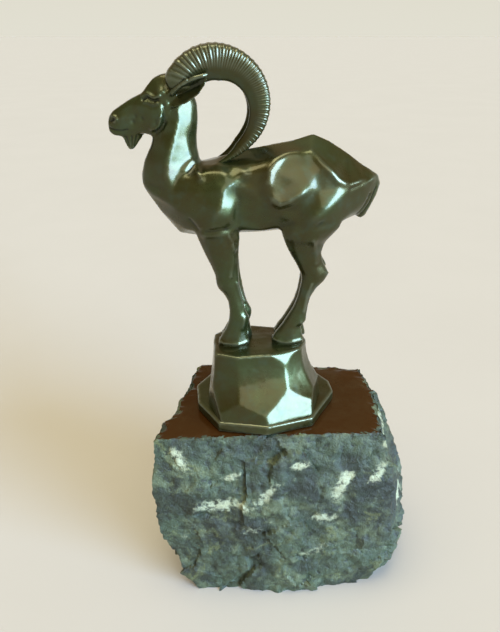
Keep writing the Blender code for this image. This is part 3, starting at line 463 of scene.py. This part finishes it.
# Paler patches on the stone's front: x, height, half length, half width, slant in degrees,
# strength.
PALE_PATCHES = (
    (-20.1, 42.6, 9.4, 3.6, 0.0, 1.0),
    (-7.1, 32.1, 5.3, 2.7, 19.0, 0.8),
    (-1.9, 49.3, 8.7, 2.5, 47.0, 0.8),
    (8.0, 59.2, 4.6, 2.1, 10.0, 0.9),
    (23.6, 51.7, 6.9, 2.4, 62.0, 0.95),
    (16.4, 36.3, 5.7, 2.5, 0.0, 0.9),
    (34.8, 53.9, 4.7, 2.2, 53.0, 1.0),
    (45.2, 38.8, 4.8, 2.0, -81.0, 1.0),
    (37.5, 66.8, 2.4, 1.5, 73.0, 0.9),
    (-14.5, 55.0, 7.3, 1.4, 18.0, 0.8),
    (-32.8, 63.1, 5.7, 2.4, -61.0, 0.7),
    (16.5, 22.0, 9.2, 2.4, 27.0, 0.5),
    (-27.5, 23.1, 9.1, 2.4, -38.0, 0.5),
)


# Mesh helpers


def object_from(name, mesh_data, place=(0.0, 0.0, 0.0)):
    """An object from a bmesh drawn in millimetres, with its place taken into the mesh."""
    bmesh.ops.recalc_face_normals(mesh_data, faces=mesh_data.faces)
    matrix = Matrix.Scale(MM, 4) @ Matrix.Translation(place)
    bmesh.ops.transform(mesh_data, matrix=matrix, verts=mesh_data.verts)
    mesh = bpy.data.meshes.new(name)
    mesh_data.to_mesh(mesh)
    mesh_data.free()
    made = bpy.data.objects.new(name, mesh)
    bpy.context.scene.collection.objects.link(made)
    return made


def apply_modifiers(obj):
    """Bakes an object's modifiers into its mesh."""
    graph = bpy.context.evaluated_depsgraph_get()
    mesh = bpy.data.meshes.new_from_object(obj.evaluated_get(graph))
    obj.modifiers.clear()
    obj.data = mesh
    return mesh


def cut_away(target, cutter):
    """Cuts with a helper, which is then removed."""
    step = target.modifiers.new("cut", "BOOLEAN")
    step.operation = "DIFFERENCE"
    step.object = cutter
    step.solver = "EXACT"
    apply_modifiers(target)
    bpy.data.objects.remove(cutter)


def points_of(mesh):
    points = np.empty(len(mesh.vertices) * 3)
    mesh.vertices.foreach_get("co", points)
    return points.reshape(-1, 3)


def normals_of(mesh):
    normals = np.empty(len(mesh.vertices) * 3)
    mesh.vertices.foreach_get("normal", normals)
    return normals.reshape(-1, 3)


def set_points(mesh, points):
    mesh.vertices.foreach_set("co", points.ravel())
    mesh.update()


def neighbour_mean(mesh, values):
    """The mean of each vertex's neighbours, along the mesh's edges."""
    ends = np.empty(len(mesh.edges) * 2, int)
    mesh.edges.foreach_get("vertices", ends)
    a, b = ends.reshape(-1, 2).T
    total = np.zeros_like(values)
    np.add.at(total, a, values[b])
    np.add.at(total, b, values[a])
    count = np.bincount(ends, minlength=len(values)).astype(float)
    count[count == 0] = 1.0
    return total / (count if values.ndim == 1 else count[:, None])


def reached(values, start, width):
    """0 up to the start and 1 a width past it, where a negative width runs downwards."""
    return np.clip((values - start) / width, 0.0, 1.0)


def mark_wear_and_shade(obj):
    """Stores how far each point stands out, from 0 in a hollow to 1 on an edge; the bronze rubs its
    edges lighter and paints shade into its hollows by it.
    """
    mesh = obj.data
    points = points_of(mesh)
    around = points
    for _ in range(WEAR_AND_SHADE_REACH):
        around = neighbour_mean(mesh, around)
    proud = ((points - around) * normals_of(mesh)).sum(axis=1)
    for _ in range(WEAR_AND_SHADE_SMOOTHING):
        proud = 0.5 * proud + 0.5 * neighbour_mean(mesh, proud)
    share = np.clip(0.5 + proud / (WEAR_AND_SHADE_RANGE * MM), 0.0, 1.0)
    layer = mesh.attributes.new("wear_and_shade", "FLOAT", "POINT")
    layer.data.foreach_set("value", share.astype(np.float32))


def shade(obj, material, angle=None):
    """Smooth shading, with edges sharper than the angle kept crisp."""
    mesh = obj.data
    mesh.materials.clear()
    mesh.materials.append(material)
    mesh.shade_smooth()
    if angle:
        mesh.set_sharp_from_angle(angle=math.radians(angle))


def loft(mesh_data, rings):
    """A closed skin through rings of equally many points, capped at both ends."""
    loops = [[mesh_data.verts.new(point) for point in ring] for ring in rings]
    count = len(loops[0])
    for lower, upper in zip(loops, loops[1:]):
        for i in range(count):
            j = (i + 1) % count
            mesh_data.faces.new((lower[i], lower[j], upper[j], upper[i]))
    mesh_data.faces.new(loops[0][::-1])
    mesh_data.faces.new(loops[-1])


def prism(corners, low, high):
    """An upright prism from its plan."""
    mesh_data = bmesh.new()
    loft(mesh_data, [[(x, y, z) for x, y in corners] for z in (low, high)])
    return mesh_data


def round_bar(radius, low, high, segments=48):
    """A cutter upright under the casting's middle."""
    angles = [2 * math.pi * i / segments for i in range(segments)]
    corners = [(radius * math.cos(a), radius * math.sin(a)) for a in angles]
    return object_from("cutter", prism(corners, low, high), (PLINTH_X, PLINTH_Y, 0.0))


# Node helpers


def node(tree, kind, inputs=None, **settings):
    """A shader node; an input that is given a socket is linked, and any other is set."""
    made = tree.nodes.new("ShaderNode" + kind)
    for key, value in settings.items():
        setattr(made, key, value)
    for key, value in (inputs or {}).items():
        if isinstance(value, bpy.types.NodeSocket):
            tree.links.new(value, made.inputs[key])
        else:
            made.inputs[key].default_value = value
    return made


def new_material(name):
    """A material, its nodes, its shader and the coordinates that its textures use."""
    made = bpy.data.materials.new(name)
    made.use_nodes = True
    tree = made.node_tree
    place = node(tree, "TexCoord").outputs["Object"]
    return made, tree, tree.nodes["Principled BSDF"], place


def cloud(tree, place, scale, detail=4.0, roughness=0.6, distortion=0.0):
    """A noise value round 0.5 at a number of waves per metre."""
    settings = {"Scale": scale, "Detail": detail, "Roughness": roughness, "Distortion": distortion}
    return node(tree, "TexNoise", {"Vector": place, **settings}).outputs["Fac"]


def span(tree, value, low, high, to_low=0.0, to_high=1.0):
    """A value between low and high, spread smoothly over another range."""
    return node(
        tree, "MapRange",
        {"Value": value, "From Min": low, "From Max": high, "To Min": to_low, "To Max": to_high},
        interpolation_type="SMOOTHSTEP",
    ).outputs["Result"]


def blend(tree, share, low, high):
    """Two colours mixed by a share."""
    made = node(tree, "Mix", data_type="RGBA")
    for key, value in ((0, share), (6, low), (7, high)):
        if isinstance(value, bpy.types.NodeSocket):
            tree.links.new(value, made.inputs[key])
        elif key:
            made.inputs[key].default_value = (*value, 1.0)
        else:
            made.inputs[key].default_value = value
    return made.outputs[2]


def add(tree, a, b):
    return node(tree, "Math", {0: a, 1: b}, operation="ADD").outputs["Value"]


def bump(tree, height, strength, distance, under=None):
    """A surface relief of a depth in metres, on top of another one."""
    inputs = {"Strength": strength, "Distance": distance, "Height": height}
    if under:
        inputs["Normal"] = under
    return node(tree, "Bump", inputs).outputs[0]


def bronze_material():
    """Cast bronze with a dark olive and brown patina under wax, rubbed brighter on its edges, with
    painted shade darkening its hollows.
    """
    made, tree, shader, place = new_material("patinated bronze")
    wear_and_shade = node(tree, "Attribute", attribute_name="wear_and_shade").outputs["Fac"]
    broad = cloud(tree, place, 55.0)
    drift = cloud(tree, place, 190.0, 5.0)
    fine = cloud(tree, place, 1400.0, 3.0)
    colour = blend(tree, span(tree, broad, 0.36, 0.64), PATINA_BROWN, PATINA_OLIVE)
    colour = blend(tree, span(tree, drift, 0.5, 0.72, 0.0, 0.5), colour, PATINA_GREEN)
    # Painted shade: the hollows are darkened almost to black
    colour = blend(tree, span(tree, wear_and_shade, 0.5, 0.25, 0.0, 0.75), colour, HOLLOW_PAINTED_SHADE)
    colour = blend(tree, span(tree, wear_and_shade, 0.58, 0.95, 0.0, 0.5), colour, PATINA_RUBBED)
    tree.links.new(colour, shader.inputs["Base Color"])
    broad_rough = span(tree, drift, 0.3, 0.7, 0.27, 0.35)
    fine_rough = span(tree, fine, 0.3, 0.7, -0.02, 0.03)
    tree.links.new(add(tree, broad_rough, fine_rough), shader.inputs["Roughness"])
    waves = bump(tree, drift, 0.12, 0.0004)
    grain = bump(tree, fine, 0.16, 0.00005, waves)
    tree.links.new(grain, shader.inputs["Normal"])
    shader.inputs["Metallic"].default_value = 0.75
    shader.inputs["Coat Weight"].default_value = 0.35
    shader.inputs["Coat Roughness"].default_value = 0.12
    return made


def stone_colour(tree, place):
    """Dark blue-green rock with ochre clouds, pale patches, dark pits and light grains."""
    broad = cloud(tree, place, 34.0, 5.0, 0.62, 0.6)
    patch = cloud(tree, place, 95.0, 6.0, 0.66, 0.4)
    fine = cloud(tree, place, 420.0, 5.0, 0.7)
    colour = blend(tree, span(tree, broad, 0.38, 0.62), STONE_DARK, STONE_GREEN)
    colour = blend(tree, span(tree, patch, 0.46, 0.66, 0.0, 0.8), colour, STONE_CLOUD)
    pale = node(tree, "Attribute", attribute_name="pale").outputs["Fac"]
    pale = add(tree, pale, span(tree, patch, 0.3, 0.7, -0.3, 0.3))
    pale = add(tree, pale, span(tree, fine, 0.3, 0.7, -0.25, 0.25))
    ochre = cloud(tree, place, 60.0, 6.0, 0.7, 1.2)
    colour = blend(tree, span(tree, ochre, 0.56, 0.68, 0.0, 0.6), colour, STONE_OCHRE)
    colour = blend(tree, span(tree, pale, 0.34, 0.9, 0.0, 0.9), colour, STONE_PALE)
    colour = blend(tree, span(tree, fine, 0.36, 0.5, 0.8, 0.0), colour, STONE_PIT)
    colour = blend(tree, span(tree, fine, 0.6, 0.72, 0.0, 0.5), colour, STONE_GLINT)
    return colour, fine, patch


def stone_material():
    made, tree, shader, place = new_material("broken green stone")
    colour, fine, _ = stone_colour(tree, place)
    tree.links.new(colour, shader.inputs["Base Color"])
    tree.links.new(span(tree, fine, 0.3, 0.7, 0.42, 0.66), shader.inputs["Roughness"])
    grit = cloud(tree, place, 1500.0, 4.0, 0.7)
    coarse = bump(tree, fine, 1.0, 0.001)
    tree.links.new(bump(tree, grit, 0.6, 0.0002, coarse), shader.inputs["Normal"])
    shader.inputs["Specular IOR Level"].default_value = 0.55
    return made


# The polished top: glossy dark stone whose colour carries a painted reddish-brown reflection
def polished_painted_reflection_material():
    made, tree, shader, place = new_material("polished stone with painted reflection")
    colour, _, patch = stone_colour(tree, place)
    # Painted reflection: 94 percent of the stone's colour is replaced by reddish brown
    colour = blend(tree, 0.94, colour, POLISHED_PAINTED_REFLECTION)
    tree.links.new(colour, shader.inputs["Base Color"])
    tree.links.new(span(tree, patch, 0.3, 0.7, 0.1, 0.2), shader.inputs["Roughness"])
    shader.inputs["Specular IOR Level"].default_value = 0.2
    return made


def steel_material():
    made, tree, shader, place = new_material("zinc plated steel")
    drift = cloud(tree, place, 600.0)
    tree.links.new(blend(tree, drift, STEEL_DARK, STEEL_LIGHT), shader.inputs["Base Color"])
    tree.links.new(span(tree, drift, 0.3, 0.7, 0.28, 0.42), shader.inputs["Roughness"])
    shader.inputs["Metallic"].default_value = 1.0
    return made


# The ibex


def section(row, shape, side, inner_shape=None):
    """One ring of the figure: shape is used outwards and inner_shape towards the middle plane."""
    front_x, front_z, back_x, back_z, offset, half = row
    front = Vector((front_x, 0.0, front_z))
    back = Vector((back_x, 0.0, back_z))
    ring = []
    for share, reach in shape:
        point = front.lerp(back, share)
        point.y = side * (offset + reach * half)
        ring.append(point)
    for share, reach in reversed(inner_shape or shape):
        point = front.lerp(back, share)
        point.y = side * (offset - reach * half)
        ring.append(point)
    return ring


def lagging(row):
    """A leg section of the far side, which is set back more the nearer it is to the hoof."""
    front_x, front_z, back_x, back_z, offset, half = row
    lag = FAR_LEG_LAG * max(0.0, 1.0 - front_z / FORE_LEG_SECTIONS[0][1])
    return (front_x + lag, front_z, back_x + lag, back_z, offset, half)


def relief(mesh_data, rows):
    """A closed form from an outline in profile and the ridges of its two mirrored sides."""
    points, depths, number, ridges = [], [], {}, []
    for row in rows:
        for x, z, depth in row:
            if (x, z) not in number:
                number[x, z] = len(points)
                points.append(Vector((x, z)))
                depths.append(depth)
        line = [number[x, z] for x, z, depth in row]
        ridges += zip(line, line[1:])
    outline = [number[x, z] for x, z, depth in rows[0]]
    flat, _, faces, sources, _, _ = delaunay_2d_cdt(points, ridges, [outline], 1, 1e-4)
    sides = []
    for side in (-1, 1):
        verts = {}
        for i, spot in enumerate(flat):
            depth = depths[sources[i][0]]
            if not depth and side > 0:
                verts[i] = sides[0][i]
            else:
                verts[i] = mesh_data.verts.new((spot.x, side * depth, spot.y))
        sides.append(verts)
        for face in faces:
            corners = [verts[i] for i in face[::side]]
            if any(depths[sources[i][0]] for i in face):
                mesh_data.faces.new(corners)
    place = {sources[i][0]: i for i in range(len(flat))}
    near, far = sides
    for a, b in zip(outline, outline[1:] + outline[:1]):
        wall = dict.fromkeys((near[place[a]], near[place[b]], far[place[b]], far[place[a]]))
        if len(wall) > 2:
            mesh_data.faces.new(wall)


CASTING_PLACE = (PLINTH_X, PLINTH_Y, STONE_HEIGHT + SEAT_GAP)
TURN = Matrix.Rotation(FIGURE_TURN, 4, "Z")
SHIFT = Matrix.Translation((FIGURE_OFFSET_X, FIGURE_OFFSET_Y, PLINTH_HEIGHT))
FIGURE_TO_WORLD = Matrix.Scale(MM, 4) @ Matrix.Translation(CASTING_PLACE) @ TURN @ SHIFT


def place_on_plinth(mesh_data):
    """Turns the figure a little and sets it on the rock."""
    bmesh.ops.transform(mesh_data, matrix=TURN @ SHIFT, verts=mesh_data.verts)


def figure_points(mesh):
    """The points of a mesh in the figure's own millimetres."""
    back = np.array(FIGURE_TO_WORLD.inverted())
    return points_of(mesh) @ back[:3, :3].T + back[:3, 3]


def soften(mesh):
    """Rounds the skin, and more so the creases of the trunk and the neck."""
    x, _, z = figure_points(mesh).T
    low = np.where(x > TRUNK_HIND_X, TRUNK_HIND_LOW, TRUNK_FORE_LOW)
    share = reached(z, low, TRUNK_LOW_FADE) * reached(z, NECK_TOP, -NECK_TOP_FADE)
    front = np.where(z > NECK_LOW, reached(x, NECK_FRONT, TRUNK_END_FADE), 1.0)
    share *= reached(x, TRUNK_BACK, -TRUNK_END_FADE) * front
    points = points_of(mesh)
    for step in range(TRUNK_SMOOTHING):
        pull = 0.5 if step < SKIN_SMOOTHING else 0.5 * share[:, None]
        points += pull * (neighbour_mean(mesh, points) - points)
    set_points(mesh, points)


def on_head(mesh):
    """Which points of the skin are on the head."""
    x, _, z = figure_points(mesh).T
    return (x < HEAD_BACK) & (z > HEAD_LOW)


def refine_head(mesh):
    """Doubles the mesh's fineness on the head, and smooths it there once more."""
    head = on_head(mesh)
    finer = bmesh.new()
    finer.from_mesh(mesh)
    edges = [edge for edge in finer.edges if all(head[vert.index] for vert in edge.verts)]
    bmesh.ops.subdivide_edges(finer, edges=edges, cuts=1, use_grid_fill=True)
    finer.to_mesh(mesh)
    finer.free()
    points = points_of(mesh)
    head = on_head(mesh)[:, None]
    for _ in range(HEAD_SMOOTHING):
        points += 0.5 * head * (neighbour_mean(mesh, points) - points)
    set_points(mesh, points)


def carve(mesh):
    """Works the finer features into the sides of the skin."""
    points, normals, local = points_of(mesh), normals_of(mesh), figure_points(mesh)
    sideways = np.abs(normals @ np.array(TURN)[:3, :3])[:, 1]
    flat = local[:, (0, 2)]
    move = np.zeros(len(points))
    for half, height, line in CARVINGS:
        far = np.full(len(points), np.inf)
        for start, end in zip(line, line[1:]):
            start, run = np.array(start), np.subtract(end, start)
            way = np.clip((flat - start) @ run / (run @ run), 0.0, 1.0)
            far = np.minimum(far, np.linalg.norm(flat - start - way[:, None] * run, axis=1))
        move += height * np.exp(-((far / half) ** 2))
    move *= reached(sideways, CARVING_LEAST_NORMAL, CARVING_FADE)
    set_points(mesh, points + normals * move[:, None] * MM)


def body():
    """The animal's masses, fused into one skin and then carved."""
    mesh_data = bmesh.new()
    for rows in (TRUNK_RELIEF, NECK_RELIEF, HEAD_RELIEF):
        relief(mesh_data, rows)
    for sections in (BEARD_SECTIONS, TAIL_SECTIONS):
        loft(mesh_data, [section(row, TUFT_SHAPE, 1) for row in sections])
    for leg in (FORE_LEG_SECTIONS, HIND_LEG_SECTIONS):
        loft(mesh_data, [section(row, LIMB_SHAPE, -1) for row in leg])
        loft(mesh_data, [section(lagging(row), LIMB_SHAPE, 1) for row in leg])
    for side in (-1, 1):
        ear = [section(row, EAR_OUTER_SHAPE, side, EAR_INNER_SHAPE) for row in EAR_SECTIONS]
        loft(mesh_data, ear)
    place_on_plinth(mesh_data)
    made = object_from("ibex_body", mesh_data, CASTING_PLACE)
    fuse = made.modifiers.new("fuse masses", "REMESH")
    fuse.mode = "VOXEL"
    fuse.voxel_size = SKIN_VOXEL * MM
    soften(apply_modifiers(made))
    refine_head(made.data)
    carve(made.data)
    return made


def smooth_loop(corners, steps):
    """A rounded closed curve through corners, with the same number of steps between each two."""
    points = []
    count = len(corners)
    for i in range(count):
        a, b, c, d = (Vector(corners[(i + k - 1) % count]) for k in range(4))
        for step in range(steps):
            t = step / steps
            square, cube = 2 * a - 5 * b + 4 * c - d, 3 * b - a - 3 * c + d
            points.append(0.5 * (2 * b + (c - a) * t + square * t * t + cube * t**3))
    return points


def horn(side):
    """One horn, with rounded growth ridges across its outer face that lean towards the tip."""
    corners = [(share, reach) for share, reach in HORN_SHAPE]
    corners += [(share, -reach) for share, reach in reversed(HORN_SHAPE)]
    outline = smooth_loop(corners, 4)
    count = HORN_RIDGES * HORN_RINGS_PER_RIDGE
    rings = []
    for i in range(count + 1):
        way = i / count
        left = 1.0 - way
        turn = HORN_ROOT_ANGLE + (HORN_TIP_ANGLE - HORN_ROOT_ANGLE) * way**HORN_TURN_PACE
        taper = min(1.0, left / (1.0 - HORN_TAPER_START)) ** HORN_DEPTH_TAPER
        depth = HORN_TIP_DEPTH + (HORN_ROOT_DEPTH - HORN_TIP_DEPTH) * taper
        widening = HORN_ROOT_HALF_WIDTH - HORN_TIP_HALF_WIDTH
        half = HORN_TIP_HALF_WIDTH + widening * left**HORN_WIDTH_TAPER
        offset = HORN_ROOT_Y + (HORN_TIP_Y - HORN_ROOT_Y) * way
        offset += math.sin(math.pi * way) * (HORN_MID_Y - (HORN_ROOT_Y + HORN_TIP_Y) / 2)
        sink = HORN_TIP_SINK * max(0.0, (way - HORN_SINK_START) / (1.0 - HORN_SINK_START)) ** 2
        root = math.sin(math.pi / 2 * min(1.0, HORN_ROOT_START + way / HORN_ROOT_BLEND))
        fading = min(1.0, HORN_RIDGE_TIP_FADE * left, HORN_RIDGE_ROOT_FADE * way)
        size = (0.5 + 0.5 * left) * fading
        lean = HORN_RIDGE_LEAN * max(0.0, 1.0 - way / HORN_LEAN_END)
        spoke = Matrix.Rotation(math.radians(-turn), 3, "Y") @ Vector((1.0, 0.0, 0.0))
        centre = Vector((HORN_CENTRE_X, side * offset, HORN_CENTRE_Z))
        pointed = min(1.0, left / HORN_POINT_START) ** HORN_POINT_POWER
        point = HORN_POINT_SIZE + (1.0 - HORN_POINT_SIZE) * pointed
        depth *= point
        half *= point
        ring = []
        for share, reach in outline:
            lag = lean * max(0.0, 1.0 - share) ** HORN_LEAN_POWER
            phase = HORN_RIDGES * way**HORN_RIDGE_PACE - lag
            wave = (0.5 + 0.5 * math.cos(2 * math.pi * phase)) ** HORN_RIDGE_POWER
            mask = min(1.0, max(0.0, (share - HORN_RIDGE_INNER_END) / HORN_RIDGE_INNER_FADE))
            swell = size * mask * ((HORN_CREST + HORN_VALLEY) * wave - HORN_VALLEY)
            radius = HORN_OUTER_RADIUS + sink - depth * (0.5 + (0.5 - share) * root)
            radius += swell * share * HORN_RIDGE_PROFILE_SHARE
            width = reach * half * root + math.copysign(swell, reach)
            ring.append(centre + spoke * radius + Vector((0.0, side * width, 0.0)))
        rings.append(ring)
    mesh_data = bmesh.new()
    loft(mesh_data, rings)
    place_on_plinth(mesh_data)
    return object_from("horn_left" if side < 0 else "horn_right", mesh_data, CASTING_PLACE)


# The plinth


def cut_flat(mesh_data, point, normal):
    """Saws a solid off at a plane and closes the face."""
    everything = mesh_data.verts[:] + mesh_data.edges[:] + mesh_data.faces[:]
    cut = bmesh.ops.bisect_plane(
        mesh_data, geom=everything, plane_co=point, plane_no=normal, clear_outer=True
    )
    edges = [part for part in cut["geom_cut"] if isinstance(part, bmesh.types.BMEdge)]
    bmesh.ops.contextual_create(mesh_data, geom=edges)


def rock_block():
    """The upper plinth: a flared prism whose foot is cut back by large facets."""
    mesh_data = bmesh.new()
    rise = PLINTH_HEIGHT - FOOT_THICKNESS
    rings = []
    for step in range(ROCK_LEVELS + 1):
        share = 1.0 - step / ROCK_LEVELS
        level = FOOT_THICKNESS - ROCK_SINK + (rise + ROCK_SINK) * share
        flare = (1.0 - share) ** ROCK_FLARE_POWER
        plan = [Vector(top).lerp(Vector(low), flare) for top, low in zip(ROCK_TOP, ROCK_SPREAD)]
        rings.append([(corner.x, corner.y, level) for corner in plan])
    loft(mesh_data, rings)
    for i, (x, y, lean) in enumerate(ROCK_CUTS):
        next_x, next_y, _ = ROCK_CUTS[(i + 1) % len(ROCK_CUTS)]
        along = Vector((next_x - x, next_y - y, 0.0)).normalized()
        outwards = Vector((along.y, -along.x, 0.0))
        lean = math.radians(lean)
        normal = outwards * math.cos(lean) + Vector((0.0, 0.0, math.sin(lean)))
        cut_flat(mesh_data, (x, y, FOOT_THICKNESS), normal)
    return mesh_data


def cast_block(name, mesh_data, smoothing):
    """A cast block with worn edges and faces that aren't quite flat."""
    made = object_from(name, mesh_data, CASTING_PLACE)
    skin = made.modifiers.new("even skin", "REMESH")
    skin.mode = "VOXEL"
    skin.voxel_size = SKIN_VOXEL * MM
    mesh = apply_modifiers(made)
    points = points_of(mesh)
    for _ in range(smoothing):
        points += 0.5 * (neighbour_mean(mesh, points) - points)
    set_points(mesh, points)
    normals = normals_of(mesh)
    uneven = []
    for point in points:
        fine = CAST_FINE_SHARE * noise.noise(Vector(point) * CAST_FINE_WAVES)
        uneven.append(noise.noise(Vector(point) * CAST_WAVES) + fine)
    set_points(mesh, points + normals * np.array(uneven)[:, None] * CAST_UNEVENNESS * MM)
    return made


# The stone


def stone_outline(share):
    """Plan corners of the stone at a share of its height."""
    for (low, low_corners), (high, high_corners) in zip(STONE_OUTLINES, STONE_OUTLINES[1:]):
        if share <= high:
            break
    way = (share - low) / (high - low)
    return [Vector(a).lerp(Vector(b), way) for a, b in zip(low_corners, high_corners)]


def chipped(spot):
    """How far the broken face stands out at a spot: flat tilted chips, with grain on top."""
    place = spot / STONE_CHIP_SIZE + STONE_SEED
    seed = noise.voronoi(place)[1][0]
    turn = noise.cell_vector(seed * STONE_TILT_SHUFFLE) - Vector((0.5, 0.5, 0.5))
    chip = STONE_CHIP_STEP * (noise.cell(seed * STONE_STEP_SHUFFLE) - 0.5)
    chip += STONE_CHIP_TILT * turn.dot(place - seed)
    grain = STONE_GRAIN * noise.noise(place * STONE_GRAIN_WAVES)
    grain += STONE_FINE_GRAIN * noise.noise(place * STONE_FINE_WAVES)
    return chip + grain + STONE_FINEST_GRAIN * noise.noise(place * STONE_FINEST_WAVES)


def pale_at(points):
    """How pale the stone is at each point, from the patches on its front."""
    pale = np.zeros(len(points))
    for x, z, length, width, slant, strength in PALE_PATCHES:
        c, s = math.cos(math.radians(slant)), math.sin(math.radians(slant))
        dx, dz = points[:, 0] - x, points[:, 2] - z
        far = ((dx * c + dz * s) / length) ** 2 + ((dz * c - dx * s) / width) ** 2
        front = points[:, 1] < 0
        pale = np.maximum(pale, strength * np.exp(-far) * front)
    return pale


def margin_rings(edge):
    """Rings from the stone's upper edge inwards, which rise to the level of its polished top."""
    rings = []
    for step in range(1, STONE_MARGIN_RINGS + 1):
        inwards = step / STONE_MARGIN_RINGS
        ring = []
        for point in edge:
            plan = Vector((point.x, point.y, 0.0))
            inner = plan - plan.normalized() * STONE_MARGIN * inwards
            rough = abs(noise.noise(inner * STONE_MARGIN_WAVES)) * STONE_MARGIN_DROP
            rough += STONE_MARGIN_FINE_DROP * noise.noise(inner * STONE_MARGIN_FINE_WAVES)
            drop = (1.0 - inwards) ** STONE_MARGIN_POWER * rough
            ring.append(Vector((inner.x, inner.y, STONE_HEIGHT - max(0.0, drop))))
        rings.append(ring)
    return rings


def stone():
    """The broken block, with a sawn underside and a polished top inside a chipped margin."""
    widest = stone_outline(STONE_WIDEST)
    grid = STONE_GRID * 1
    counts = [max(2, round((b - a).length / grid)) for a, b in zip(widest, widest[1:] + widest[:1])]
    levels = round(STONE_HEIGHT / grid)
    rings = []
    for level in range(levels + 1):
        corners = stone_outline(level / levels)
        ring = []
        for start, end, count in zip(corners, corners[1:] + corners[:1], counts):
            for i in range(count):
                plan = start.lerp(end, i / count)
                spot = Vector((plan.x, plan.y, STONE_HEIGHT * level / levels))
                plan += plan.normalized() * chipped(spot)
                ring.append(Vector((plan.x, plan.y, spot.z)))
        rings.append(ring)
    edge = rings[-1]
    rings += margin_rings(edge)
    for point in edge:
        uneven = noise.noise(Vector((point.x, point.y, 0.0)) * STONE_RIM_WAVES)
        point.z -= STONE_RIM_DROP + STONE_RIM_UNEVENNESS * uneven
    mesh_data = bmesh.new()
    loft(mesh_data, rings)
    made = object_from("rough_stone", mesh_data)
    cut_away(made, round_bar(STUD_BORE_RADIUS, -CUT_OVERRUN, STONE_HEIGHT + CUT_OVERRUN))
    cut_away(made, round_bar(NUT_RECESS_RADIUS, -CUT_OVERRUN, NUT_RECESS_DEPTH))
    points = points_of(made.data) / MM
    layer = made.data.attributes.new("pale", "FLOAT", "POINT")
    layer.data.foreach_set("value", pale_at(points).astype(np.float32))
    return made


# Camera, light and floor


def sun(name, direction, spread, strength, colour):
    """A distant soft light, whose spread is its apparent width in degrees."""
    light = bpy.data.lights.new(name, "SUN")
    light.angle = math.radians(spread)
    light.energy = strength
    light.color = colour
    made = bpy.data.objects.new(name, light)
    made.rotation_euler = Vector(direction).to_track_quat("Z", "Y").to_euler()
    bpy.context.scene.collection.objects.link(made)


def surroundings():
    """A soft sky: as pale as the floor near the horizon, brown above, and pale again overhead."""
    world = bpy.data.worlds.new("studio")
    world.use_nodes = True
    tree = world.node_tree
    direction = node(tree, "TexCoord").outputs["Generated"]
    height = node(tree, "SeparateXYZ", {0: direction}).outputs["Z"]
    ramp = node(tree, "ValToRGB", {0: height})
    while len(ramp.color_ramp.elements) < len(SKY):
        ramp.color_ramp.elements.new(0.5)
    for element, (position, colour) in zip(ramp.color_ramp.elements, SKY):
        element.position = position
        element.color = (*colour, 1.0)
    tree.links.new(ramp.outputs[0], tree.nodes["Background"].inputs["Color"])
    tree.nodes["Background"].inputs["Strength"].default_value = 1.0
    bpy.context.scene.world = world


def studio():
    """The photograph's camera, with soft light and a plain pale floor."""
    scene = bpy.context.scene
    camera = bpy.data.objects.new("camera", bpy.data.cameras.new("camera"))
    camera.location = CAMERA_PLACE
    camera.rotation_euler = (math.radians(CAMERA_TILT), 0.0, 0.0)
    camera.data.lens = CAMERA_LENS
    camera.data.sensor_width = CAMERA_SENSOR
    camera.data.clip_start = CAMERA_NEAREST
    scene.collection.objects.link(camera)
    scene.camera = camera
    scene.view_settings.view_transform = "Standard"

    for light in LIGHTS:
        sun(*light)
    surroundings()

    mesh_data = bmesh.new()
    bmesh.ops.create_grid(mesh_data, x_segments=2, y_segments=2, size=FLOOR_REACH)
    floor = object_from("floor", mesh_data)
    made, tree, shader, place = new_material("pale floor")
    drift = cloud(tree, place, 8.0)
    tree.links.new(blend(tree, drift, FLOOR_DARK, FLOOR_LIGHT), shader.inputs["Base Color"])
    shader.inputs["Roughness"].default_value = 1.0
    shader.inputs["Specular IOR Level"].default_value = 0.1
    floor.data.materials.append(made)


def dress():
    """Draws the visible pieces in place of the solids, and gives them their materials."""
    bronze = bronze_material()
    pieces = [body(), horn(-1), horn(1)]
    plate = prism(FOOT_CORNERS, 0.0, FOOT_THICKNESS)
    pieces.append(cast_block("rock_plinth", rock_block(), ROCK_SMOOTHING))
    pieces.append(cast_block("foot_plate", plate, FOOT_SMOOTHING))
    for piece in pieces:
        mark_wear_and_shade(piece)
        shade(piece, bronze)
        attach(piece, "root")
        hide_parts("ibex_casting")

    block = stone()
    shade(block, stone_material(), STONE_SHARP_ANGLE)
    block.data.materials.append(polished_painted_reflection_material())
    lowest = (STONE_HEIGHT - POLISH_DEPTH) * MM
    for face in block.data.polygons:
        if face.normal.z > POLISH_LEAST_NORMAL and face.center.z > lowest:
            face.material_index = 1
    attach(block, "root")
    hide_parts("stone_block")

    steel = steel_material()
    for name in ("fixing_stud", "fixing_washer", "fixing_nut"):
        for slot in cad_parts[name].material_slots:
            slot.material = steel


studio()
dress()
